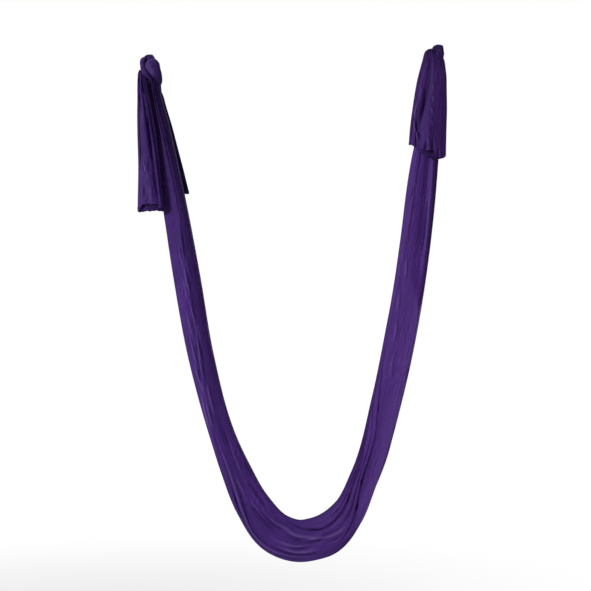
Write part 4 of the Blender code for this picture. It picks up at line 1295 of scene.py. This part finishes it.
class HAMMOCK_OT_sling(bpy.types.Operator):
    """Hang the three layers of pleated cloth between the knots"""

    bl_idname = "hammock.sling"
    bl_label = "Sling"

    def execute(self, context):
        pleats = context.scene.hammock.pleats

        course, shares = sling_course(-1.0)
        face = drawn_face(FRONT_CREASES, shares, 21)
        form = Form(shares, pleats.rim, FRONT_PEAK, FRONT_SWELLS, keen=0.8)
        layers = Layers(course, face, pleats.sling_passes, form, inner=LAYER_BOUND, seed=31)
        front = sling_piece(
            "front_pleats", course, layers, shares, 41, context, FRONT_LINES, FRONT_SHADE_BANDS
        )
        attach(front, "sling")
        declare_layer("sling_front")

        course, shares = sling_course(-1.0, LAYER_BOUND * 0.97)
        face = wandering_face(7, shares, 22, depth=0.76)
        form = Form(shares, pleats.rim + 0.1)
        layers = Layers(course, face, pleats.sling_passes, form, last=-1.0, seed=32)
        middle = sling_piece("middle_pleats", course, layers, shares, 42, context)
        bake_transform(middle)
        declare_layer("sling_middle")

        course, shares = sling_course(1.0)
        face = wandering_face(10, shares, 23, depth=0.66, wander=0.9, cells=6.0)
        form = Form(shares, pleats.rim, BACK_PEAK, keen=0.4)
        layers = Layers(course, face, pleats.sling_passes, form, inner=LAYER_BOUND, seed=33)
        back = sling_piece("back_pleats", course, layers, shares, 43, context)
        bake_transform(back)
        declare_layer("sling_back")
        return {"FINISHED"}


def hanging_course(eye, rows, count, back):
    """Rows down a tail, closer together at its hem, with its back on a plane."""
    heights = np.array([row[0] for row in rows])
    fold = HEM_FOLD / (heights[0] - heights[-1])
    reach = np.append(np.linspace(0.0, 1.0, count - 2) * (1.0 - fold), (1.0 - 0.5 * fold, 1.0))
    z = heights[0] + (heights[-1] - heights[0]) * reach
    left, right, thick = (eased([(-row[0], row[k]) for row in rows], -z) for k in (1, 2, 3))
    middles = np.column_stack((eye.x + 0.5 * (left + right), np.full(count, back), eye.z + z))
    across = np.tile((1.0, 0.0, 0.0), (count, 1))
    out = np.tile((0.0, -1.0, 0.0), (count, 1))
    half = 0.5 * (right - left)
    return Course(middles, across, out, heights[0] - z, half, half, thick), reach


def parted(passes, reach, gap, seed):
    """Levels of the passes down a tail: even in the gathers, and parted into groups at the hem."""
    even = np.linspace(1.0, 0.0, passes)
    steps = np.random.default_rng(seed).uniform(0.25, 1.0, passes - 1)
    steps[::3] += gap
    steps[0] += 3.0 * gap
    grouped = 1.0 - np.concatenate(([0.0], np.cumsum(steps))) / steps.sum()
    open_share = reach[None, :] ** 1.5
    return even[:, None] * (1.0 - open_share) + grouped[:, None] * open_share


def hem_turned(grid, normals, along):
    """The grid with its hem turned up behind the cloth, and a low ridge where it is sewn."""
    grid = grid.copy()
    grid[-3] -= normals[-3] * HEM_RIDGE
    grid[-2] += normals[-2] * HEM_RIDGE
    edge = grid[-1]
    falling = unit(edge - grid[-2])
    under = [
        edge - normals[-1] * HEM_RIDGE + falling * HEM_ROUND,
        edge - normals[-1] * HEM_GAP,
        grid[-3] - normals[-3] * HEM_GAP,
    ]
    extra = along[-1] + np.array((0.0006, 0.0012, HEM_FOLD))
    return np.vstack((grid, np.array(under))), np.concatenate((along, extra))


def hem_noise(fabric, size, seed):
    """Noise from -1 to 1 along a hem, with waves of about the given size."""
    return grain(fabric / size, 0.5, seed)


# The line of stitches round each hem, laid down as its cloth is made
HEM_LINES = {}


def hanging_sheet(
    name, course, layers, reach, hem_drop, curl, gathers, seed, context, lines=(), bands=()
):
    """A tail's cloth: pleats that open downwards to an uneven, turned hem."""
    pleats = context.scene.hammock.pleats
    grid = layers.points()
    columns = grid.shape[1]
    face = slice(0, layers.face_columns)
    fine = wrinkles(course, layers.t[:, face], pleats.wrinkle, seed, 0.5, slant=0.22)
    single = drawn_lines(course, reach, layers.t[:, face], lines)
    grid[:, face] += (fine + single)[:, :, None] * course.out[:, None, :]
    fabric = run_length(grid[-1])
    front_drop, inner_drop = (eased(drops, np.clip(layers.t[-1], -1.0, 1.0)) for drops in hem_drop)
    inner = ramp(np.arange(columns), layers.face_columns, 6.0)
    drop = front_drop * (1.0 - inner) + inner_drop * inner
    drop = drop - HEM_LEAST_DROP - HEM_WAVE * hem_noise(fabric, 0.018, seed + 2)
    drop = drop - HEM_WAVE * hem_noise(fabric, 0.007, seed + 6)
    drop = drop + inner * (INNER_WAVE * hem_noise(fabric, 0.036, seed + 3) - INNER_RISE)
    stretch = ramp(reach, *DROP_RUN)[:, None] ** 1.5
    grid[:, :, 2] -= stretch * drop[None, :]
    flare = ramp(reach, *FLARE_RUN)[:, None] ** 2
    rolled = curl * np.clip(hem_noise(fabric, 0.022, seed + 4), -0.4, 1.0) * (1.0 - 0.7 * inner)
    grid += (flare * rolled[None, :])[:, :, None] * course.out[:, None, :]
    ruffle = RUFFLE * inner * hem_noise(fabric, 0.010, seed + 7)
    grid += (reach[:, None] ** 5 * ruffle[None, :])[:, :, None] * course.out[:, None, :]
    sway = soft_noise(grid, 0.16, seed + 5) * (TAIL_SWAY * reach[:, None, None])
    grid += sway * np.array((0.6, 1.0, 0.0))
    normals = grid_normals(grid)
    first = layers.face_columns // 2
    if np.dot(normals[len(reach) // 2, first], course.out[0]) < 0.0:
        normals = -normals
    HEM_LINES[name] = grid[-3] + normals[-3] * SEAM_PROUD
    grid, along = hem_turned(grid, normals, course.along)
    # Painted shade in the hollows between the inner passes near the hem, and below the knot
    hollow = ramp(reach, *HOLLOW_RUN)[:, None] * 0.9 * inner
    shade = np.maximum(np.maximum(layers.shade, gathered_shade(course.along, gathers)), hollow)
    # Painted shade and highlight of the bands, painted highlight on ridges and painted shade in creases
    shade[:, face] += painted_band_shade(layers.t[:, face], reach, bands) - stretched(single + 0.5 * fine)
    # Painted light on the hem's edge: its last rows lose most of their painted shade along the front, and
    # some of it here and there on the inner passes' curling edges
    curl_light = np.clip(0.75 - 0.9 * hem_noise(fabric, 0.012, seed + 8), 0.25, 1.0)
    shade[-2:] *= 0.3 * (1.0 - inner) + curl_light * inner
    shade = np.vstack((shade, np.tile(shade[-1], (3, 1))))
    outward = np.broadcast_to(course.out[0], (columns, 3))[face]
    return cloth_piece(name, grid, shade, along, outward, knit(context, "violet_knit_tail"))


class TailShape:
    """How one tail hangs: its outline, folds, hem and the painted shade of its gathers, its rows and its
    flat cloth, which is not used.
    """

    def __init__(self, rows, creases, peak, swells, lines, bands, drops, gathers, count, flat):
        self.rows = rows
        self.creases = creases
        self.peak = peak
        self.swells = swells
        self.lines = lines
        self.bands = bands
        self.drops = drops
        self.gathers = gathers
        self.count = count
        self.flat = flat


TAILS = {
    "left": TailShape(
        LEFT_TAIL_ROWS, LEFT_TAIL_CREASES, LEFT_TAIL_PEAK, LEFT_TAIL_SWELLS, LEFT_TAIL_LINES,
        LEFT_TAIL_SHADE_BANDS, (LEFT_HEM_DROP, LEFT_INNER_DROP), gathers=0.055, count=130, flat=(1.40, 0.49),
    ),
    "right": TailShape(
        RIGHT_TAIL_ROWS, RIGHT_TAIL_CREASES, RIGHT_TAIL_PEAK, RIGHT_TAIL_SWELLS, RIGHT_TAIL_LINES,
        RIGHT_TAIL_SHADE_BANDS, (RIGHT_HEM_DROP, RIGHT_INNER_DROP), gathers=0.035, count=110, flat=(2.00, 0.36),
    ),
}


class HAMMOCK_OT_tails(bpy.types.Operator):
    """Hang the gathered tails in front of the sling"""

    bl_idname = "hammock.tails"
    bl_label = "Tails"

    def execute(self, context):
        passes = context.scene.hammock.pleats.tail_passes
        for order, (side, shape) in enumerate(TAILS.items()):
            eye = EYES[side]
            course, reach = hanging_course(eye, shape.rows, shape.count, TAIL_BACK)
            face = drawn_face(shape.creases, reach, 51 + order)
            form = Form(reach, 0.42, shape.peak, shape.swells, keen=0.4)
            spread = parted(passes, reach, 1.6, 61 + order)
            layers = Layers(course, face, passes, form, seed=71 + order, spread=spread, inset=0.10)
            tail = hanging_sheet(
                side + "_tail_pleats", course, layers, reach, shape.drops, TAIL_CURL, shape.gathers,
                81 + 9 * order, context, shape.lines, shape.bands,
            )
            side + "_tail"
            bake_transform(tail)
            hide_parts(side + "_tail", side + "_tail_neck")
            side + "_knot_gathers"
        return {"FINISHED"}


class HAMMOCK_OT_flap(bpy.types.Operator):
    """Hang the half of the left tail that lies behind the strand"""

    bl_idname = "hammock.flap"
    bl_label = "Left tail's back half"

    def execute(self, context):
        strand, shares = sling_course(1.0)
        leg = shares < LEFT_LEG_END
        z = np.linspace(FLAP_TOP, FLAP_FOOT, FLAP_ROWS)
        middle = np.interp(-z, -strand.middles[leg, 2], strand.middles[leg, 0])
        half = np.interp(-z, -strand.middles[leg, 2], strand.high[leg])
        share = (FLAP_TOP - z) / (FLAP_TOP - FLAP_FOOT)
        drawn_in = FLAP_DRAWN_IN * (1.0 - np.clip(share / FLAP_GATHERED_SHARE, 0.0, 1.0)) ** 2
        low = middle - np.minimum(FLAP_COVER, half) + drawn_in
        high = middle + half + FLAP_PROUD * share - drawn_in
        back = np.full(FLAP_ROWS, FLAP_FRONT - FLAP_CLEARANCE)
        middles = np.column_stack((0.5 * (low + high), back, z))
        across = np.tile((1.0, 0.0, 0.0), (FLAP_ROWS, 1))
        out = np.tile((0.0, 1.0, 0.0), (FLAP_ROWS, 1))
        half_width = 0.5 * (high - low)
        course = Course(middles, across, out, FLAP_TOP - z, half_width, half_width, FLAP_DEPTH)

        reach = np.linspace(0.0, 1.0, FLAP_ROWS)
        face = wandering_face(5, reach, 24, depth=0.55, cells=3.0)
        form = Form(reach, 0.45)
        spread = parted(FLAP_PASSES, reach, 0.8, 64)
        layers = Layers(course, face, FLAP_PASSES, form, seed=34, spread=spread, inset=0.08)
        flap = hanging_sheet(
            "left_tail_back_pleats", course, layers, reach, (FLAP_HEM_DROP, FLAP_HEM_DROP), FLAP_CURL,
            FLAP_KNOT_SHADE, 101, context,
        )
        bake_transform(flap)
        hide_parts("left_tail_back")
        return {"FINISHED"}


def turn_piece(
    name, eye, drawn, count, creases, seed, context, centre, rim, depth, passes=6, dusk=NO_DUSK, bands=()
):
    """A turn of gathered cloth along a drawn route, its pleats running with it.
    Its outer face looks away from the centre, a place from its own eye."""
    shape = [(*place, half, thick) for place, half, thick in drawn]
    rows, along = spaced(shape, count)
    middles = rows[:, :3] + np.array(eye)
    ahead = unit(np.gradient(middles, axis=0))
    out = middles - (np.array(eye) + np.array(centre))
    out = unit(out - ahead * (out * ahead).sum(axis=1)[:, None])
    across = np.cross(ahead, out)
    course = Course(middles, across, out, along, rows[:, 3], rows[:, 3], rows[:, 4])
    shares = np.linspace(0.0, 1.0, count)
    face = wandering_face(creases, shares, seed, depth=depth, wander=0.8, cells=2.6)
    layers = Layers(course, face, passes, Form(shares, rim), last=-1.0, seed=seed + 1)
    shown = slice(0, layers.face_columns)
    grid = layers.points()
    lift = wrinkles(course, layers.t[:, shown], TURN_WRINKLE, seed + 2)
    plump = np.clip(rows[:, 3] / rows[:, 3].max(), 0.0, 1.0)[:, None]
    grid[:, shown] += (lift * plump)[:, :, None] * out[:, None, :]
    grid += soft_noise(grid, LUMP_SIZE, seed + 3) * LUMP_HEIGHT
    outward = np.broadcast_to(out[count // 2], (layers.face_columns, 3))
    # Painted shade down the route, and bands of painted shade and highlight across it
    shade = np.maximum(layers.shade, eased(dusk, shares, held=True)[:, None])
    shade[:, shown] += painted_band_shade(layers.t[:, shown], shares, bands)
    return cloth_piece(name, grid, shade, along, outward, knit(context, "violet_knit_knot_shaded"))


KNOTS = {
    "left": (LEFT_LOBE_ROUTE, LEFT_BAND_ROUTE, LEFT_CORE_ROUTE),
    "right": (RIGHT_LOBE_ROUTE, RIGHT_BAND_ROUTE, RIGHT_CORE_ROUTE),
}

# Painted shade on the lobes at shares down their route, and bands of painted highlight and shade on them
LOBE_DUSK = {
    "left": ((0.0, 0.10), (0.15, 0.0), (0.42, 0.0), (0.66, 0.34), (1.0, 0.50)),
    "right": ((0.0, 0.40), (0.25, 0.55), (0.50, 0.70), (1.0, 0.70)),
}
LOBE_SHADE_BANDS = {
    "left": (
        (((0.0, 0.50), (0.5, 0.56), (1.0, 0.60)), 0.34,
         ((0.00, 0.00), (0.18, -0.55), (0.50, -0.60), (0.66, 0.00), (1.00, 0.00))),
        (((0.0, 0.90), (1.0, 0.90)), 0.26,
         ((0.00, 0.00), (0.58, 0.00), (0.68, 0.70), (0.80, 0.50), (1.00, 0.20))),
        (((0.0, -0.80), (1.0, -0.80)), 0.40, ((0.00, 0.20), (0.40, 0.34), (1.00, 0.40))),
    ),
    "right": (),
}


class HAMMOCK_OT_knots(bpy.types.Operator):
    """Tie the knots: their stem, their band and their front lobe"""

    bl_idname = "hammock.knots"
    bl_label = "Knots"

    def execute(self, context):
        for order, (side, (lobe_route, band_route, core_route)) in enumerate(KNOTS.items()):
            eye = EYES[side]
            seed = 200 + 20 * order
            stem = turn_piece(
                side + "_knot_gathers", eye, core_route, 90, 8, seed, context,
                STEM_CENTRE, rim=0.40, depth=0.60, passes=7,
            )
            lobe = turn_piece(
                side + "_knot_front", eye, lobe_route, 100, 2, seed + 5, context,
                LOBE_CENTRE, rim=0.42, depth=0.80, dusk=LOBE_DUSK[side], bands=LOBE_SHADE_BANDS[side],
            )
            band = turn_piece(
                side + "_knot_wrap", eye, band_route, 150, 2, seed + 10, context,
                BAND_CENTRE, rim=0.34, depth=0.72,
            )
            turns = (
                (stem, "_knot_core", STEM_LENGTH),
                (lobe, "_knot_lobe", LOBE_LENGTH),
                (band, "_knot_band", BAND_LENGTH),
            )
            for piece, node, length in turns:
                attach(piece, "sling")
                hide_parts(side + node)
                side + "_eye_bight"
        return {"FINISHED"}


class HAMMOCK_OT_eyes(bpy.types.Operator):
    """Lay the bights of cloth round the places of the hooks"""

    bl_idname = "hammock.eyes"
    bl_label = "Eyes"

    def execute(self, context):
        for order, (side, (shifts, widths, dusk)) in enumerate(EYE_SHAPES.items()):
            eye = EYES[side]
            ways_round = np.linspace(0.0, 1.0, EYE_POINTS)
            offsets = eased(shifts, ways_round)
            halves = eased(widths, ways_round)
            route = []
            for angle, offset, half in zip(np.linspace(*EYE_ARCH, EYE_POINTS), offsets, halves):
                place = (offset, -EYE_ROUND * math.cos(angle), EYE_ROUND * math.sin(angle))
                route.append((place, half, EYE_HALF_THICKNESS))
            bight = turn_piece(
                side + "_eye_bight", eye, route, 110, 4, 300 + 20 * order, context,
                (offsets.mean(), 0.0, 0.0), rim=0.52, depth=0.72, dusk=dusk,
            )
            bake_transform(bight)
            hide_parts(side + "_eye")
        return {"FINISHED"}


def stitch_tree():
    """Geometry Nodes: one small thread loop after another along a line."""
    tree = bpy.data.node_groups.new("hem_stitches", "GeometryNodeTree")
    tree.is_modifier = True
    sockets = (
        ("Line", "INPUT", "NodeSocketGeometry"),
        ("Pitch", "INPUT", "NodeSocketFloat"),
        ("Stitch length", "INPUT", "NodeSocketFloat"),
        ("Thread", "INPUT", "NodeSocketFloat"),
        ("Material", "INPUT", "NodeSocketMaterial"),
        ("Stitches", "OUTPUT", "NodeSocketGeometry"),
    )
    for name, way, kind in sockets:
        tree.interface.new_socket(name, in_out=way, socket_type=kind)
    nodes = tree.nodes
    given = nodes.new("NodeGroupInput")
    result = nodes.new("NodeGroupOutput")
    line = nodes.new("GeometryNodeMeshToCurve")
    marks = nodes.new("GeometryNodeResampleCurve")
    marks.mode = "LENGTH"
    bead = nodes.new("GeometryNodeMeshUVSphere")
    bead.inputs["Segments"].default_value = 6
    bead.inputs["Rings"].default_value = 4
    bead.inputs["Radius"].default_value = 1.0
    half = nodes.new("ShaderNodeMath")
    half.operation = "MULTIPLY"
    half.inputs[1].default_value = 0.5
    size = nodes.new("ShaderNodeCombineXYZ")
    tangent = nodes.new("GeometryNodeInputTangent")
    turn = nodes.new("FunctionNodeAlignRotationToVector")
    turn.axis = "Z"
    place = nodes.new("GeometryNodeInstanceOnPoints")
    real = nodes.new("GeometryNodeRealizeInstances")
    finish = nodes.new("GeometryNodeSetMaterial")
    wires = (
        (given, "Line", line, "Mesh"),
        (line, "Curve", marks, "Curve"),
        (given, "Pitch", marks, "Length"),
        (given, "Stitch length", half, 0),
        (given, "Thread", size, "X"),
        (given, "Thread", size, "Y"),
        (half, 0, size, "Z"),
        (tangent, "Tangent", turn, "Vector"),
        (marks, "Curve", place, "Points"),
        (bead, "Mesh", place, "Instance"),
        (turn, "Rotation", place, "Rotation"),
        (size, "Vector", place, "Scale"),
        (place, "Instances", real, "Geometry"),
        (real, "Geometry", finish, "Geometry"),
        (given, "Material", finish, "Material"),
        (finish, "Geometry", result, "Stitches"),
    )
    for source, output, target, entry in wires:
        tree.links.new(source.outputs[output], target.inputs[entry])
    return tree


def nodes_applied(piece, tree, values):
    """Give a piece the plain mesh that a Geometry Nodes tree makes of it, with its named inputs set."""
    modifier = piece.modifiers.new(tree.name, "NODES")
    modifier.node_group = tree
    inputs = [item for item in tree.interface.items_tree if item.in_out == "INPUT"]
    identifiers = {item.name: item.identifier for item in inputs}
    for name, value in values.items():
        modifier[identifiers[name]] = value
    evaluated = piece.evaluated_get(bpy.context.evaluated_depsgraph_get())
    mesh = bpy.data.meshes.new_from_object(evaluated)
    piece.modifiers.remove(modifier)
    piece.data = mesh


class HAMMOCK_OT_hem_stitches(bpy.types.Operator):
    """Sew the hems of the tails"""

    bl_idname = "hammock.hem_stitches"
    bl_label = "Hem stitches"

    def execute(self, context):
        settings = context.scene.hammock
        tree = stitch_tree()
        thread = shared_material("hem_thread", lambda: thread_material(settings.cloth))
        bodies = {"left_tail_pleats": "left_tail", "right_tail_pleats": "right_tail"}
        values = {
            "Pitch": settings.pleats.stitch_pitch,
            "Stitch length": settings.pleats.stitch_length,
            "Thread": settings.pleats.thread,
            "Material": thread,
        }
        for cloth, line in HEM_LINES.items():
            mesh = bpy.data.meshes.new(cloth + "_hem_line")
            mesh.from_pydata(line.tolist(), [(i, i + 1) for i in range(len(line) - 1)], [])
            seam = bpy.data.objects.new(cloth.replace("pleats", "hem_stitches"), mesh)
            context.scene.collection.objects.link(seam)
            nodes_applied(seam, tree, values)
            seam.data.shade_smooth()
            if cloth in bodies:
                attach(seam, bodies[cloth])
            else:
                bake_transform(seam)
        return {"FINISHED"}


def area_lamp(name, place, aim, size, power):
    lamp = bpy.data.lights.new(name, "AREA")
    lamp.shape = "DISK"
    lamp.size = size
    lamp.energy = power
    holder = bpy.data.objects.new(name, lamp)
    holder.location = place
    holder.rotation_euler = (Vector(aim) - Vector(place)).to_track_quat("-Z", "Y").to_euler()
    bpy.context.scene.collection.objects.link(holder)


def seen_ray(paint):
    """1 for what the camera sees, also in gloss and through glass."""
    first = paint.node("ShaderNodeLightPath", output=0)
    made = first.socket.node
    glossy = Wire(paint, made.outputs["Is Glossy Ray"])
    through = Wire(paint, made.outputs["Is Transmission Ray"])
    return first.floor_at(glossy).floor_at(through)


def light_surround(strength):
    """A soft even light from all round, behind a white background."""
    world = bpy.data.worlds.new("studio")
    world.use_nodes = True
    bpy.context.scene.world = world
    paint = Paint(world.node_tree)
    white = paint.node("ShaderNodeBackground", {}, {"Color": (1.0, 1.0, 1.0, 1.0), "Strength": 1.0})
    soft = paint.node("ShaderNodeBackground", {}, {"Color": (1.0, 1.0, 1.0, 1.0), "Strength": strength})
    shown = paint.node("ShaderNodeMixShader", {}, {0: seen_ray(paint), 1: soft, 2: white})
    world.node_tree.links.new(shown.socket, world.node_tree.nodes["World Output"].inputs["Surface"])


def floor_material():
    """A pale floor that shows nearly white, and keeps the hammock's shadow."""
    material = bpy.data.materials.new("pale_floor")
    material.use_nodes = True
    paint = Paint(material.node_tree)
    place = paint.node("ShaderNodeTexCoord", output=3)
    cloud = paint.node("ShaderNodeTexNoise", {}, {"Vector": place, "Scale": 1.2, "Detail": 2.0})
    pale = paint.mix(cloud, (0.90, 0.90, 0.90, 1.0), (0.93, 0.93, 0.93, 1.0))
    matt = paint.node("ShaderNodeBsdfDiffuse", {}, {"Color": pale})
    white = paint.node("ShaderNodeEmission", {}, {"Color": (1.0, 1.0, 1.0, 1.0), "Strength": 1.0})
    spread = paint.node("ShaderNodeVectorMath", {"operation": "LENGTH"}, {0: place}, output=1)
    outwards = paint.node(
        "ShaderNodeMapRange",
        {"interpolation_type": "SMOOTHSTEP"},
        {"Value": spread, "From Min": 2.4, "From Max": 4.2, "To Min": 0.62, "To Max": 1.0},
    )
    shown = paint.node("ShaderNodeMixShader", {}, {0: seen_ray(paint) * outwards, 1: matt, 2: white})
    output = material.node_tree.nodes["Material Output"]
    material.node_tree.links.new(shown.socket, output.inputs["Surface"])
    return material


class HAMMOCK_OT_stage(bpy.types.Operator):
    """Set up the floor, the light and the camera"""

    bl_idname = "hammock.stage"
    bl_label = "Stage"

    def execute(self, context):
        settings = context.scene.hammock.stage
        powers = {
            "key_light": settings.key_power,
            "fill_light": settings.fill_power,
            "back_light": settings.back_power,
        }
        sides = ((-1, -1), (1, -1), (1, 1), (-1, 1))
        corners = [(x * FLOOR_HALF, y * FLOOR_HALF, -settings.floor_drop) for x, y in sides]
        mesh = bpy.data.meshes.new("studio_floor")
        mesh.from_pydata(corners, [], [(0, 1, 2, 3)])
        mesh.materials.append(floor_material())
        floor = bpy.data.objects.new("studio_floor", mesh)
        context.scene.collection.objects.link(floor)
        for name, (place, size) in LAMPS.items():
            area_lamp(name, place, LAMP_AIM, size, powers[name])
        light_surround(settings.surround)
        lens = bpy.data.cameras.new("camera")
        lens.sensor_fit = "HORIZONTAL"
        lens.sensor_width = CAMERA_SENSOR
        lens.lens = CAMERA_LENS
        camera = bpy.data.objects.new("camera", lens)
        camera.location = CAMERA_PLACE
        camera.rotation_euler = (math.radians(90.0), 0.0, CAMERA_TURN)
        context.scene.collection.objects.link(camera)
        context.scene.camera = camera
        context.scene.view_settings.view_transform = "Standard"
        return {"FINISHED"}


OPERATORS = (
    HAMMOCK_OT_stage,
    HAMMOCK_OT_eyes,
    HAMMOCK_OT_knots,
    HAMMOCK_OT_sling,
    HAMMOCK_OT_tails,
    HAMMOCK_OT_flap,
    HAMMOCK_OT_hem_stitches,
)


class HAMMOCK_PT_pieces(bpy.types.Panel):
    """The hammock's settings and its pieces, in the order in which they are made"""

    bl_label = "Hammock"
    bl_idname = "HAMMOCK_PT_pieces"
    bl_space_type = "VIEW_3D"
    bl_region_type = "UI"
    bl_category = "Hammock"

    def draw(self, context):
        settings = context.scene.hammock
        for group in (settings.cloth, settings.pleats, settings.stage):
            part = self.layout.box()
            for name in group.__annotations__:
                part.prop(group, name)
        for operator in OPERATORS:
            self.layout.operator(operator.bl_idname)


CLASSES = (HammockCloth, HammockPleats, HammockStage, HammockSettings, *OPERATORS, HAMMOCK_PT_pieces)


def register():
    for item in CLASSES:
        bpy.utils.register_class(item)
    bpy.types.Scene.hammock = PointerProperty(type=HammockSettings)


def unregister():
    del bpy.types.Scene.hammock
    for item in reversed(CLASSES):
        bpy.utils.unregister_class(item)


def main():
    register()
    bpy.ops.hammock.stage()
    bpy.ops.hammock.eyes()
    bpy.ops.hammock.knots()
    bpy.ops.hammock.sling()
    bpy.ops.hammock.tails()
    bpy.ops.hammock.flap()
    bpy.ops.hammock.hem_stitches()


if __name__ == "__main__":
    main()
